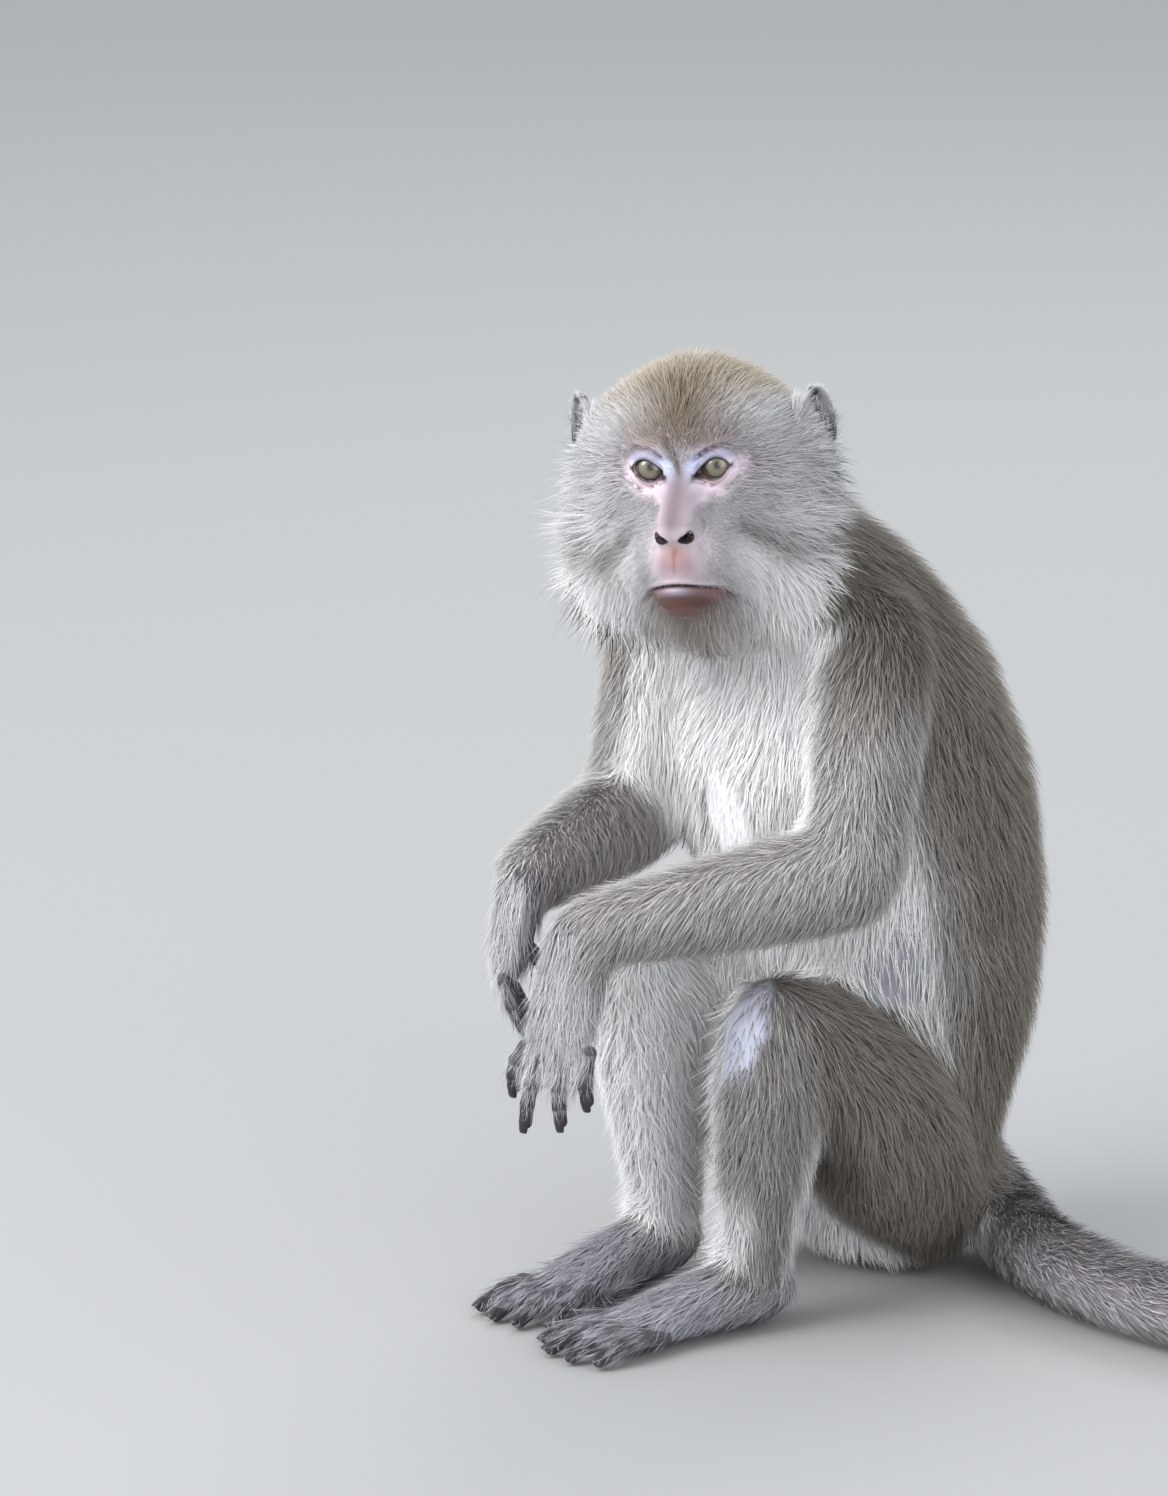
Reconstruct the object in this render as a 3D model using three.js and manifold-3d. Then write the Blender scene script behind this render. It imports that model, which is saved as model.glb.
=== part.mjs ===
// A long-tailed macaque sitting at rest, life size: knees drawn up, forearms laid over the knees,
// hands hanging, head turned to its left. Millimetres, +Z up, the animal faces -Y, its left is +X.
// Each solid runs out to the tips of the coat and is one named part of the body.
import * as THREE from 'three';
import Module from 'manifold-3d';

const wasm = await Module();
wasm.setup();

// ---- Driving dimensions ------------------------------------------------------------------------

const GAP = 0.3; // clearance between parts that touch
const FLAT_DEPTH = 1.2; // how far a resting part is pressed flat on the floor
const SHOULDER_HEIGHT = 318;
const EYE_HEIGHT = 407;
const EYE_RADIUS = 9;
const EYE_SPACING = 31; // between the centres of the two eyes
const HEAD_PLACE = [26.5, -177]; // x and y of the point between the eyes
const HEAD_YAW = 38; // degrees that the face turns to the animal's left
const HEAD_PITCH = 3; // and bows
const HEAD_ROLL = -4.4; // and tilts to its right

const v = (x, y, z) => new THREE.Vector3(x, y, z);
const radians = THREE.MathUtils.degToRad;
const UP = v(0, 0, 1);
const FORWARD = v(0, -1, 0);

// ---- Solids ------------------------------------------------------------------------------------

function solidFrom(points, triangles) {
  const vertProperties = new Float32Array(points.flatMap((p) => [p.x, p.y, p.z]));
  const triVerts = new Uint32Array(triangles.flat());
  return new wasm.Manifold(new wasm.Mesh({ numProp: 3, vertProperties, triVerts }));
}

// Joins rings of equal length, and a pole at each end, into one closed solid.
function solidFromRings(startPole, rings, endPole) {
  const sides = rings[0].length;
  const points = [startPole, ...rings.flat(), endPole];
  const last = points.length - 1;
  const at = (ring, side) => 1 + ring * sides + (side % sides);
  const triangles = [];
  for (let s = 0; s < sides; s++) {
    triangles.push([0, at(0, s + 1), at(0, s)]);
    triangles.push([last, at(rings.length - 1, s), at(rings.length - 1, s + 1)]);
    for (let r = 0; r + 1 < rings.length; r++) {
      triangles.push([at(r, s), at(r, s + 1), at(r + 1, s)]);
      triangles.push([at(r, s + 1), at(r + 1, s + 1), at(r + 1, s)]);
    }
  }
  const solid = solidFrom(points, triangles);
  if (solid.volume() > 0) return solid;
  return solidFrom(points, triangles.map(([a, b, c]) => [a, c, b]));
}

// A number that runs smoothly through equally spaced values, as t goes from 0 to 1.
function through(values, t) {
  const place = t * (values.length - 1);
  const i = Math.min(Math.floor(place), values.length - 2);
  const f = place - i;
  const pick = (k) => values[THREE.MathUtils.clamp(k, 0, values.length - 1)];
  const [a, b, c, d] = [pick(i - 1), pick(i), pick(i + 1), pick(i + 2)];
  return b + 0.5 * f * (c - a + f * (2 * a - 5 * b + 4 * c - d + f * (3 * (b - c) + d - a)));
}

// A closed, round-ended sweep through oval sections. A section is [centre, half width, half height];
// width lies across `up`, height along it. `grow` makes the whole sweep that much bigger all round.
function sweep(sections, { sides = 12, steps = 2, up = UP, grow = 0, domeRings = 1 } = {}) {
  const curve = new THREE.CatmullRomCurve3(sections.map((s) => s[0]), false, 'catmullrom', 0.5);
  const widths = sections.map((s) => s[1] + grow);
  const heights = sections.map((s) => (s[2] ?? s[1]) + grow);
  const count = (sections.length - 1) * steps;
  const ringAt = (t, shift, shrink) => {
    const tangent = curve.getTangent(t);
    const across = new THREE.Vector3().crossVectors(tangent, up).normalize();
    const along = new THREE.Vector3().crossVectors(across, tangent);
    const centre = curve.getPoint(t).addScaledVector(tangent, shift);
    const ring = [];
    for (let s = 0; s < sides; s++) {
      const angle = (2 * Math.PI * s) / sides;
      ring.push(
        centre
          .clone()
          .addScaledVector(across, through(widths, t) * Math.cos(angle) * shrink)
          .addScaledVector(along, through(heights, t) * Math.sin(angle) * shrink),
      );
    }
    return { ring, centre };
  };
  const rings = [];
  const domeStart = Math.min(widths[0], heights[0]);
  const domeEnd = Math.min(widths.at(-1), heights.at(-1));
  for (let d = domeRings; d > 0; d--) {
    const angle = (Math.PI / 2) * (d / (domeRings + 1));
    rings.push(ringAt(0, -domeStart * Math.sin(angle), Math.cos(angle)).ring);
  }
  for (let i = 0; i <= count; i++) rings.push(ringAt(i / count, 0, 1).ring);
  for (let d = 1; d <= domeRings; d++) {
    const angle = (Math.PI / 2) * (d / (domeRings + 1));
    rings.push(ringAt(1, domeEnd * Math.sin(angle), Math.cos(angle)).ring);
  }
  return solidFromRings(ringAt(0, -domeStart, 1).centre, rings, ringAt(1, domeEnd, 1).centre);
}

// Keeps the side of a plane that its normal points to, half a gap away from the plane.
function keepAbove(solid, point, normal) {
  const n = normal.clone().normalize();
  return solid.trimByPlane([n.x, n.y, n.z], n.dot(point) + GAP / 2);
}
const keepBelow = (solid, point, normal) => keepAbove(solid, point, normal.clone().negate());
const onFloor = (solid) => solid.trimByPlane([0, 0, 1], 0);
// The largest piece, where a cut leaves a sliver behind.
const largest = (solid) => solid.decompose().sort((a, b) => b.volume() - a.volume())[0];

// The plane across a joint, halfway between the directions of the two parts that meet there.
const jointNormal = (from, joint, to) =>
  joint.clone().sub(from).normalize().add(to.clone().sub(joint).normalize());

// ---- Head: a smooth union of ovals and rounded bars in the head's own frame ---------------------
// Origin between the fronts of the eyes, x to the animal's left, y backward, z up.

const oval = (centre, radii, blend) => ({ centre, radii, blend });
const bar = (from, to, startRadius, endRadius, blend) => ({ from, to, startRadius, endRadius, blend });
const mirrored = (shape) =>
  Object.fromEntries(
    Object.entries(shape).map(([key, value]) => [
      key,
      value.isVector3 && key !== 'radii' ? v(-value.x, value.y, value.z) : value,
    ]),
  );
const both = (shape) => [shape, mirrored(shape)];

const HEAD_SHAPES = [
  oval(v(0, 43, 1), v(47, 51, 46), 0), // skull and crown
  ...both(oval(v(27, 44, 8), v(25, 32, 25), 10)), // temple
  ...both(bar(v(4, 4, 13), v(27, 13, 12), 8, 7, 9)), // brow
  oval(v(0, 16, -16), v(33, 22, 24), 8), // middle of the face
  oval(v(0, 12, -42), v(30, 32, 27), 10), // muzzle
  bar(v(0, 7, -2), v(0, -21, -20.5), 6.5, 9.5, 7), // ridge of the nose
  bar(v(0, 0, -36), v(0, -15, -40), 18, 15, 8), // upper lip
  bar(v(0, 12, -54), v(0, -12, -55), 18, 12.5, 6), // lower jaw and chin
  ...both(bar(v(20, 14, -34), v(38, 32, -44), 16, 24, 14)), // cheek
  ...both(oval(v(38, 42, -20), v(28, 28, 40), 14)), // cheek whiskers
  bar(v(42, 34, -44), v(51, 33, -62), 22, 18, 14), // their long lower tufts
  bar(v(-44, 34, -44), v(-57, 32, -64), 22, 18, 14),
  ...both(bar(v(46, 34, -66), v(40, 30, -78), 20, 16, 12)),
  oval(v(0, 30, -66), v(46, 30, 26), 12), // throat
  bar(v(0, 8, -68), v(0, 18, -82), 21, 20, 14), // beard
];

function shapeDistance(p, shape) {
  if (shape.radii) {
    const q = p.clone().sub(shape.centre);
    const scaled = q.clone().divide(shape.radii);
    const slope = scaled.clone().divide(shape.radii).length();
    return (scaled.length() * (scaled.length() - 1)) / Math.max(slope, 1e-9);
  }
  const axis = shape.to.clone().sub(shape.from);
  const t = THREE.MathUtils.clamp(p.clone().sub(shape.from).dot(axis) / axis.lengthSq(), 0, 1);
  const radius = THREE.MathUtils.lerp(shape.startRadius, shape.endRadius, t);
  return p.distanceTo(shape.from.clone().addScaledVector(axis, t)) - radius;
}

function headDistance(p) {
  return HEAD_SHAPES.reduce((nearest, shape) => {
    const d = shapeDistance(p, shape);
    if (!shape.blend) return Math.min(nearest, d);
    const h = Math.max(shape.blend - Math.abs(nearest - d), 0) / shape.blend;
    return Math.min(nearest, d) - (h * h * shape.blend) / 4;
  }, Infinity);
}

// Rings of rays from the middle of the head to its surface, from the muzzle round to the nape.
function headSolid(grow = 0, around = 30, along = 22) {
  const middle = v(0, 26, -18);
  const hit = (polar, angle) => {
    const direction = v(
      Math.sin(polar) * Math.cos(angle),
      -Math.cos(polar),
      Math.sin(polar) * Math.sin(angle),
    );
    let reach = 10;
    for (let step = 0; step < 50; step++) {
      reach -= headDistance(middle.clone().addScaledVector(direction, reach)) * 0.8;
    }
    return middle.clone().addScaledVector(direction, reach + grow);
  };
  const rings = [];
  for (let r = 1; r < along; r++) {
    const share = r / along;
    const polar = Math.PI * (share - 0.12 * Math.sin(Math.PI * share)); // closer together at the face
    const ring = [];
    for (let s = 0; s < around; s++) ring.push(hit(polar, (2 * Math.PI * s) / around));
    rings.push(ring);
  }
  return solidFromRings(hit(0, 0), rings, hit(Math.PI, 0));
}

// The head's frame in the body's frame.
const headTurn = new THREE.Euler(radians(HEAD_PITCH), radians(HEAD_ROLL), radians(HEAD_YAW), 'ZXY');
const HEAD_FRAME = new THREE.Matrix4()
  .makeRotationFromEuler(headTurn)
  .setPosition(...HEAD_PLACE, EYE_HEIGHT);
const inHead = (solid) => solid.transform(HEAD_FRAME.elements);

// A ball with its poles in front and behind, squashed to the given radii.
function ballSolid(centre, radii, sides = 14, bands = 9) {
  const at = (polar, turn) =>
    v(Math.sin(polar) * Math.cos(turn), -Math.cos(polar), Math.sin(polar) * Math.sin(turn))
      .multiply(radii)
      .add(centre);
  const rings = Array.from({ length: bands - 1 }, (_, r) =>
    Array.from({ length: sides }, (_, s) => at((Math.PI * (r + 1)) / bands, (2 * Math.PI * s) / sides)),
  );
  return solidFromRings(at(0, 0), rings, at(Math.PI, 0));
}

const EYES = { left: v(EYE_SPACING / 2, EYE_RADIUS, 0), right: v(-EYE_SPACING / 2, EYE_RADIUS, 0) };
const EYE_OPENING = v(7.6, 9, 5.4); // half width, depth and half height of the gap between the lids
const eyeball = (side, grow = 0) =>
  inHead(ballSolid(EYES[side], v(1, 1, 1).multiplyScalar(EYE_RADIUS + grow), 10, 7));
const eyeOpening = (side) =>
  inHead(ballSolid(EYES[side].clone().setY(-2), EYE_OPENING, 12, 6));

// An ear: a shallow cup on an oval outline that comes to a low point, in the head's frame.
const EAR = { height: 43, width: 28, cup: 5.5, thickness: 3.2, centre: v(48, 49, 3), flare: 33, lean: -8 };

function earSolid(side) {
  const around = 16;
  const across = 2;
  const sheet = (offset) =>
    Array.from({ length: across }, (_, r) => {
      const share = (r + 1) / across;
      return Array.from({ length: around }, (_, s) => {
        const angle = (2 * Math.PI * s) / around;
        const point = 1 + 0.1 * Math.max(0, Math.sin(angle)) ** 6;
        return v(
          EAR.cup * share * share + offset,
          (EAR.width / 2) * share * Math.cos(angle),
          (EAR.height / 2) * share * Math.sin(angle) * point,
        );
      });
    });
  const rings = [...sheet(EAR.thickness), ...sheet(0).reverse()];
  const solid = solidFromRings(v(EAR.thickness, 0, 0), rings, v(0, 0, 0));
  const turn = new THREE.Matrix4()
    .makeTranslation(side * EAR.centre.x, EAR.centre.y, EAR.centre.z)
    .multiply(new THREE.Matrix4().makeScale(side, 1, 1))
    .multiply(new THREE.Matrix4().makeRotationZ(radians(-EAR.flare)))
    .multiply(new THREE.Matrix4().makeRotationX(radians(EAR.lean)));
  return inHead(solid.transform(turn.elements));
}

// ---- Trunk, neck and tail ----------------------------------------------------------------------

// Sections from the seat up the trunk and neck: y, z, half width, half depth.
const TRUNK = [
  [-26, 32, 58, 48],
  [-28, 76, 67, 59],
  [-24, 120, 76, 72],
  [-29, 166, 80, 84],
  [-40, 220, 82, 89],
  [-58, 276, 79, 82],
  [-76, 322, 68, 61],
  [-101, 354, 56, 47],
  [-125, 384, 46, 40],
];
const WAIST = v(0, -22, 150);
const COLLAR = v(0, -84, 334);

const trunkSections = () => TRUNK.map(([y, z, width, depth]) => [v(0, y, z), width, depth]);
const trunkSolid = (grow = 0) =>
  onFloor(sweep(trunkSections(), { sides: 22, steps: 1, up: FORWARD, grow, domeRings: 2 }));

// The tail leaves the rump, comes down to the floor and sweeps round to the animal's left.
const TAIL = [
  // x, y, radius; the height is set so that it rests on the floor, apart from the root
  [44, 14, 24],
  [86, -12, 24],
  [140, -26, 23.5],
  [206, -24, 22],
  [262, -12, 19.5],
  [312, 12, 17],
  [354, 48, 14.5],
  [386, 92, 12],
  [402, 142, 9],
];
const TAIL_PARTS = 5;
const tailSections = () => [
  [v(0, 18, 42), 25],
  ...TAIL.map(([x, y, radius]) => [v(x, y, radius - FLAT_DEPTH), radius]),
];
const tailSolid = (grow = 0) => onFloor(sweep(tailSections(), { sides: 10, steps: 2, grow }));

// ---- Limbs -------------------------------------------------------------------------------------

const ARMS = {
  left: {
    shoulder: v(57, -87, SHOULDER_HEIGHT),
    elbow: v(88, -124, 221),
    wrist: v(25, -232, 200),
    knuckles: v(24, -248, 147),
    acrossKnuckles: v(0.85, 0.5, 0), // from the first finger to the little one
    fingerEnds: [v(6, -258, 127), v(15, -259, 112), v(29, -250, 114), v(38, -241, 124)],
    thumbEnd: v(8, -232, 140),
  },
  right: {
    shoulder: v(-61, -103, SHOULDER_HEIGHT),
    elbow: v(-80, -116, 216),
    wrist: v(-28, -224, 212),
    knuckles: v(-27, -237, 170),
    acrossKnuckles: v(-0.8, 0.6, 0),
    fingerEnds: [v(-8, -232, 138), v(-13, -226, 133), v(-20, -220, 134), v(-27, -215, 140)],
    thumbEnd: v(-12, -214, 160),
  },
};

const LEGS = {
  left: { hip: v(40, -48, 52), knee: v(54, -142, 148), ankle: v(45, -146, 27), toes: v(37, -207, 11) },
  right: { hip: v(-40, -48, 52), knee: v(-47, -134, 147), ankle: v(-43, -125, 27), toes: v(-33, -192, 11) },
};

// Radii of the coat from one joint to the next.
const UPPER_ARM_RADII = [34, 34, 32, 30, 28];
const FOREARM_RADII = [29, 29, 27, 24, 21];
const THIGH_RADII = [40, 47, 46, 39, 31];
const SHANK_RADII = [31, 33, 29, 24, 20];

// Sections evenly spaced along the straight line between two joints.
const along = (from, to, radii) =>
  radii.map((radius, i) => [from.clone().lerp(to, i / (radii.length - 1)), radius]);

const limb = (sections, sides, grow, up = UP) =>
  sweep(sections, { sides, steps: 1, up, grow });
const upperArm = (a, grow = 0) =>
  limb(along(a.shoulder, a.elbow, UPPER_ARM_RADII), 14, grow, FORWARD);
const forearm = (a, grow = 0) => limb(along(a.elbow, a.wrist, FOREARM_RADII), 13, grow);
const thigh = (l, grow = 0) => limb(along(l.hip, l.knee, THIGH_RADII), 16, grow);
const shank = (l, grow = 0) => limb(along(l.knee, l.ankle, SHANK_RADII), 14, grow, FORWARD);

function palm(a, grow = 0) {
  const normal = new THREE.Vector3().crossVectors(a.acrossKnuckles, UP).normalize();
  const halfway = a.wrist.clone().lerp(a.knuckles, 0.5);
  return sweep(
    [
      [a.wrist, 21, 17],
      [halfway, 20, 13],
      [a.knuckles, 20, 9.5],
    ],
    { sides: 12, up: normal, grow },
  );
}

// One finger or toe through three points, thinner towards its end.
const digit = (base, middle, end, radius) => (grow = 0) =>
  sweep(
    [
      [base, radius],
      [middle, radius * 0.95],
      [end, radius * 0.8],
    ],
    { sides: 6, steps: 2, up: v(0.3, 0.9, 0.3), grow },
  );

// Cuts each digit clear of the hand or foot, and of the digit before it.
const cutClear = (digits, limbEnd) =>
  digits.map(([name, solid], i) => {
    const before = i > 0 ? limbEnd.add(digits[i - 1][1](GAP)) : limbEnd;
    return [name, largest(onFloor(solid().subtract(before)))];
  });

const FINGER_RADIUS = 5.4;
const FINGER_SPACING = 10.6;
const FINGER_NAMES = ['index_finger', 'middle_finger', 'ring_finger', 'little_finger'];

function fingers(a, side) {
  const across = a.acrossKnuckles.clone().normalize();
  const thumbBase = a.wrist.clone().lerp(a.knuckles, 0.45).addScaledVector(across, -13);
  const thumbMiddle = thumbBase.clone().lerp(a.thumbEnd, 0.5);
  const thumb = digit(thumbBase, thumbMiddle, a.thumbEnd, FINGER_RADIUS);
  const others = a.fingerEnds.map((end, i) => {
    const base = a.knuckles.clone().addScaledVector(across, (i - 1.5) * FINGER_SPACING);
    const middle = base.clone().lerp(end, 0.5).add(v(0, -3.5, 0));
    return [`${FINGER_NAMES[i]}_${side}`, digit(base, middle, end, FINGER_RADIUS)];
  });
  return cutClear([[`thumb_${side}`, thumb], ...others], palm(a, GAP));
}

// The foot: heel under the ankle, a low arch, and the ball just behind the toes.
function footFrame(l) {
  const forward = l.toes.clone().sub(l.ankle).setZ(0).normalize();
  return { forward, across: new THREE.Vector3().crossVectors(UP, forward) };
}

function foot(l, grow = 0) {
  const { forward } = footFrame(l);
  const heel = l.ankle.clone().addScaledVector(forward, -5).setZ(17);
  const arch = l.ankle.clone().lerp(l.toes, 0.45).setZ(16);
  return onFloor(
    sweep(
      [
        [heel, 18, 18],
        [l.ankle.clone().addScaledVector(forward, 12).setZ(19), 20, 20],
        [arch, 19, 16 + FLAT_DEPTH],
        [l.toes, 21, 11 + FLAT_DEPTH],
      ],
      { sides: 12, steps: 1, grow },
    ),
  );
}

const TOE_RADIUS = 6;
const TOE_SPACING = 10.8;
const TOE_LENGTHS = [38, 45, 44, 38];

function toes(l, side, footGrown) {
  const { forward, across } = footFrame(l);
  const outward = Math.sign(l.hip.x);
  const bigBase = l.ankle.clone().lerp(l.toes, 0.55).addScaledVector(across, -outward * 12).setZ(9);
  const bigHeading = forward.clone().addScaledVector(across, -outward * 0.25).normalize();
  const bigMiddle = bigBase.clone().addScaledVector(bigHeading, 20).setZ(9.5);
  const bigEnd = bigBase.clone().addScaledVector(bigHeading, 41).setZ(TOE_RADIUS * 0.88 - 0.6);
  const bigToe = digit(bigBase, bigMiddle, bigEnd, TOE_RADIUS * 1.1);
  const others = TOE_LENGTHS.map((length, i) => {
    const offset = outward * (i - 1.5);
    const base = l.toes.clone().addScaledVector(across, offset * TOE_SPACING).setZ(8);
    const heading = forward.clone().addScaledVector(across, offset * 0.1).normalize();
    const middle = base.clone().addScaledVector(heading, length * 0.5).setZ(11);
    const end = base.clone().addScaledVector(heading, length).setZ(TOE_RADIUS * 0.8 - 0.6);
    return [`toe_${i + 2}_${side}`, digit(base, middle, end, TOE_RADIUS)];
  });
  return cutClear([[`big_toe_${side}`, bigToe], ...others], footGrown);
}

// ---- Materials ---------------------------------------------------------------------------------

const material = (color, roughness = 0.9) =>
  new THREE.MeshStandardMaterial({ color, roughness, metalness: 0 });
const COAT = material(0x857a6d);
const PALE_COAT = material(0xb5aea6);
const SKIN = material(0x6f6668, 0.6);
const EYE = material(0x6d6a4c, 0.1);

// ---- Assembly ----------------------------------------------------------------------------------

const group = new THREE.Group();

function add(name, solid, meshMaterial) {
  const mesh = solid.getMesh();
  const positions = new Float32Array(mesh.numVert * 3);
  for (let i = 0; i < mesh.numVert; i++) {
    positions.set(mesh.vertProperties.subarray(i * mesh.numProp, i * mesh.numProp + 3), i * 3);
  }
  const geometry = new THREE.BufferGeometry();
  geometry.setAttribute('position', new THREE.BufferAttribute(positions, 3));
  geometry.setIndex(new THREE.BufferAttribute(new Uint32Array(mesh.triVerts), 1));
  geometry.computeVertexNormals();
  const part = new THREE.Mesh(geometry, meshMaterial);
  part.name = name;
  group.add(part);
}

const trunkGrown = trunkSolid(GAP);
const trunkWhole = trunkSolid();
const collarNormal = v(0, -0.5, 1);

function addTrunk() {
  const waistNormal = v(0, -0.15, 1);
  add('abdomen', keepBelow(trunkWhole, WAIST, waistNormal), COAT);
  const chest = keepAbove(trunkWhole, WAIST, waistNormal);
  add('chest', keepBelow(chest, COLLAR, collarNormal), COAT);
}

function addHead() {
  const headGrown = inHead(headSolid(GAP));
  const belowCollar = keepBelow(trunkGrown, COLLAR, collarNormal);
  let head = inHead(headSolid()).subtract(belowCollar);
  for (const side of ['left', 'right']) {
    head = head.subtract(eyeball(side, GAP)).subtract(eyeOpening(side));
    add(`eye_${side}`, eyeball(side), EYE);
    add(`ear_${side}`, largest(earSolid(side === 'left' ? 1 : -1).subtract(headGrown)), SKIN);
  }
  add('head', largest(head), PALE_COAT);
  add('neck', largest(keepAbove(trunkWhole, COLLAR, collarNormal).subtract(headGrown)), COAT);
}

function addTail() {
  const sections = tailSections();
  const curve = new THREE.CatmullRomCurve3(sections.map((s) => s[0]), false, 'catmullrom', 0.5);
  const cutAt = (i) => {
    const t = 0.12 + (0.88 * i) / TAIL_PARTS;
    return { point: curve.getPoint(t), normal: curve.getTangent(t) };
  };
  let rest = largest(tailSolid().subtract(trunkGrown).subtract(thigh(LEGS.left, GAP)));
  for (let i = 1; i < TAIL_PARTS; i++) {
    const cut = cutAt(i);
    const near = keepBelow(rest, cut.point, cut.normal);
    add(`tail_${i}`, largest(near), COAT);
    rest = largest(keepAbove(rest, cut.point, cut.normal));
  }
  add(`tail_${TAIL_PARTS}`, rest, COAT);
}

function addLeg(side) {
  const l = LEGS[side];
  const kneeCut = jointNormal(l.hip, l.knee, l.ankle);
  const footGrown = foot(l, GAP);
  const ownSide = v(Math.sign(l.hip.x), 0, 0);
  const wholeThigh = keepAbove(keepBelow(thigh(l), l.knee, kneeCut), v(0, 0, 0), ownSide);
  const thighPart = onFloor(wholeThigh).subtract(trunkGrown);
  const shankPart = keepAbove(shank(l), l.knee, kneeCut).subtract(footGrown);
  add(`thigh_${side}`, largest(thighPart), COAT);
  add(`shank_${side}`, largest(shankPart), COAT);
  add(`foot_${side}`, foot(l), SKIN);
  for (const [name, solid] of toes(l, side, footGrown)) add(name, solid, SKIN);
}

function addArm(side) {
  const a = ARMS[side];
  const l = LEGS[side];
  const elbowCut = jointNormal(a.shoulder, a.elbow, a.wrist);
  const wristCut = jointNormal(a.elbow, a.wrist, a.knuckles);
  const legGrown = thigh(l, GAP).add(shank(l, GAP));
  const upper = keepBelow(upperArm(a), a.elbow, elbowCut).subtract(trunkGrown);
  const lower = keepBelow(keepAbove(forearm(a), a.elbow, elbowCut), a.wrist, wristCut);
  add(`upper_arm_${side}`, largest(upper.subtract(inHead(headSolid(GAP)))), COAT);
  add(`forearm_${side}`, largest(lower.subtract(legGrown).subtract(trunkGrown)), COAT);
  add(`hand_${side}`, largest(keepAbove(palm(a), a.wrist, wristCut).subtract(legGrown)), SKIN);
  for (const [name, solid] of fingers(a, side)) add(name, solid, SKIN);
}

addTrunk();
addHead();
addTail();
for (const side of ['left', 'right']) {
  addLeg(side);
  addArm(side);
}

// The origin is the middle of the whole model's outline in plan, on the floor.
const outline = new THREE.Box3().setFromObject(group);
const middle = outline.getCenter(v(0, 0, 0));
group.position.set(-middle.x, -middle.y, -outline.min.z);

export default group;
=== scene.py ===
# A long-tailed macaque sitting at rest, life size: one skin over the whole body, eyeballs, nails,
# and a coat of fine solid tufts that lies along the body. Distances are in millimetres until a
# mesh is made, and in metres for the camera and the lights. The animal sits facing -Y, its left is
# +X and the floor is z = 0.
import math

import bmesh
import bpy
import numpy as np
import openvdb
from functools import partial
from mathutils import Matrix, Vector


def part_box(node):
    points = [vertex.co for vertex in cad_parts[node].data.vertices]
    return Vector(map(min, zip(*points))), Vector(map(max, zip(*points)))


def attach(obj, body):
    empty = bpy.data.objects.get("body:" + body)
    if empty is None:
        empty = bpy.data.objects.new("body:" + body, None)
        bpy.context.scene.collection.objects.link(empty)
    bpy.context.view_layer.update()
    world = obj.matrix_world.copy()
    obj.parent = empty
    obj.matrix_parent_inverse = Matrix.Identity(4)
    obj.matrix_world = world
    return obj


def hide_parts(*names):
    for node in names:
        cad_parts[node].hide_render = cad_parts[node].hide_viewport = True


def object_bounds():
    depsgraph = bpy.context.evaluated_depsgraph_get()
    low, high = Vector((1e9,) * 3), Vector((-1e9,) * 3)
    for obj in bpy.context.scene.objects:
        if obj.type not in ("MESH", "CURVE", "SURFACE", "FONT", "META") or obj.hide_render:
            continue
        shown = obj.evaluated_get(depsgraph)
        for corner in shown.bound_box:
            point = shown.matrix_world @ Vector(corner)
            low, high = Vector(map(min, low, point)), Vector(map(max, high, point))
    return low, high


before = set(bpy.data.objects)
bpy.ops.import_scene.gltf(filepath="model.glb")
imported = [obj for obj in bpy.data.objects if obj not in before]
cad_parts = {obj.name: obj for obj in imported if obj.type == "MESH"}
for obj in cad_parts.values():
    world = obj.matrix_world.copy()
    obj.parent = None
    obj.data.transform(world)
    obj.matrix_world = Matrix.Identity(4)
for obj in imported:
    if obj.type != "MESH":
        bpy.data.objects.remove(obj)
CAD_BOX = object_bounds()
MM = 0.001

# ---- Small helpers


def unit(vectors):
    length = np.linalg.norm(vectors, axis=-1, keepdims=True)
    return vectors / np.maximum(length, 1e-9)


def smooth_min(a, b, blend):
    share = np.maximum(blend - np.abs(a - b), 0) / blend
    return np.minimum(a, b) - share * share * blend * 0.25


def smooth_max(a, b, blend):
    return -smooth_min(-a, -b, blend)


def step(low, high, x):
    """0 below low, 1 above high, and smooth between them."""
    t = np.clip((x - low) / (high - low), 0, 1)
    return t * t * (3 - 2 * t)


def bell(x, width):
    return np.exp(-np.square(x / width))


def mix(a, b, share):
    return a + (b - a) * share


def within(points, low, high):
    return ((points > low) & (points < high)).all(1)


def heading(azimuth, elevation):
    """The direction that lies so far round to the left from straight in front, and so far up."""
    level = math.cos(elevation)
    return np.array([math.sin(azimuth) * level, -math.cos(azimuth) * level, math.sin(elevation)])


def linear(red, green, blue):
    """A colour given as 0 to 255 sRGB values, in linear light."""
    c = np.array([red, green, blue]) / 255
    return np.where(c < 0.04045, c / 12.92, ((c + 0.055) / 1.055) ** 2.4)


def ripple(points, size, seed, waves=6):
    """A smooth random number for each point, about -1 to 1, that changes over the given size."""
    random = np.random.default_rng(seed)
    heading = unit(random.normal(size=(waves, 3)))
    rate = heading * (2 * math.pi / size) * random.uniform(0.6, 1.5, (waves, 1))
    phase = random.uniform(0, 2 * math.pi, waves)
    return np.sin(points @ rate.T + phase).sum(1) / math.sqrt(waves)


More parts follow.
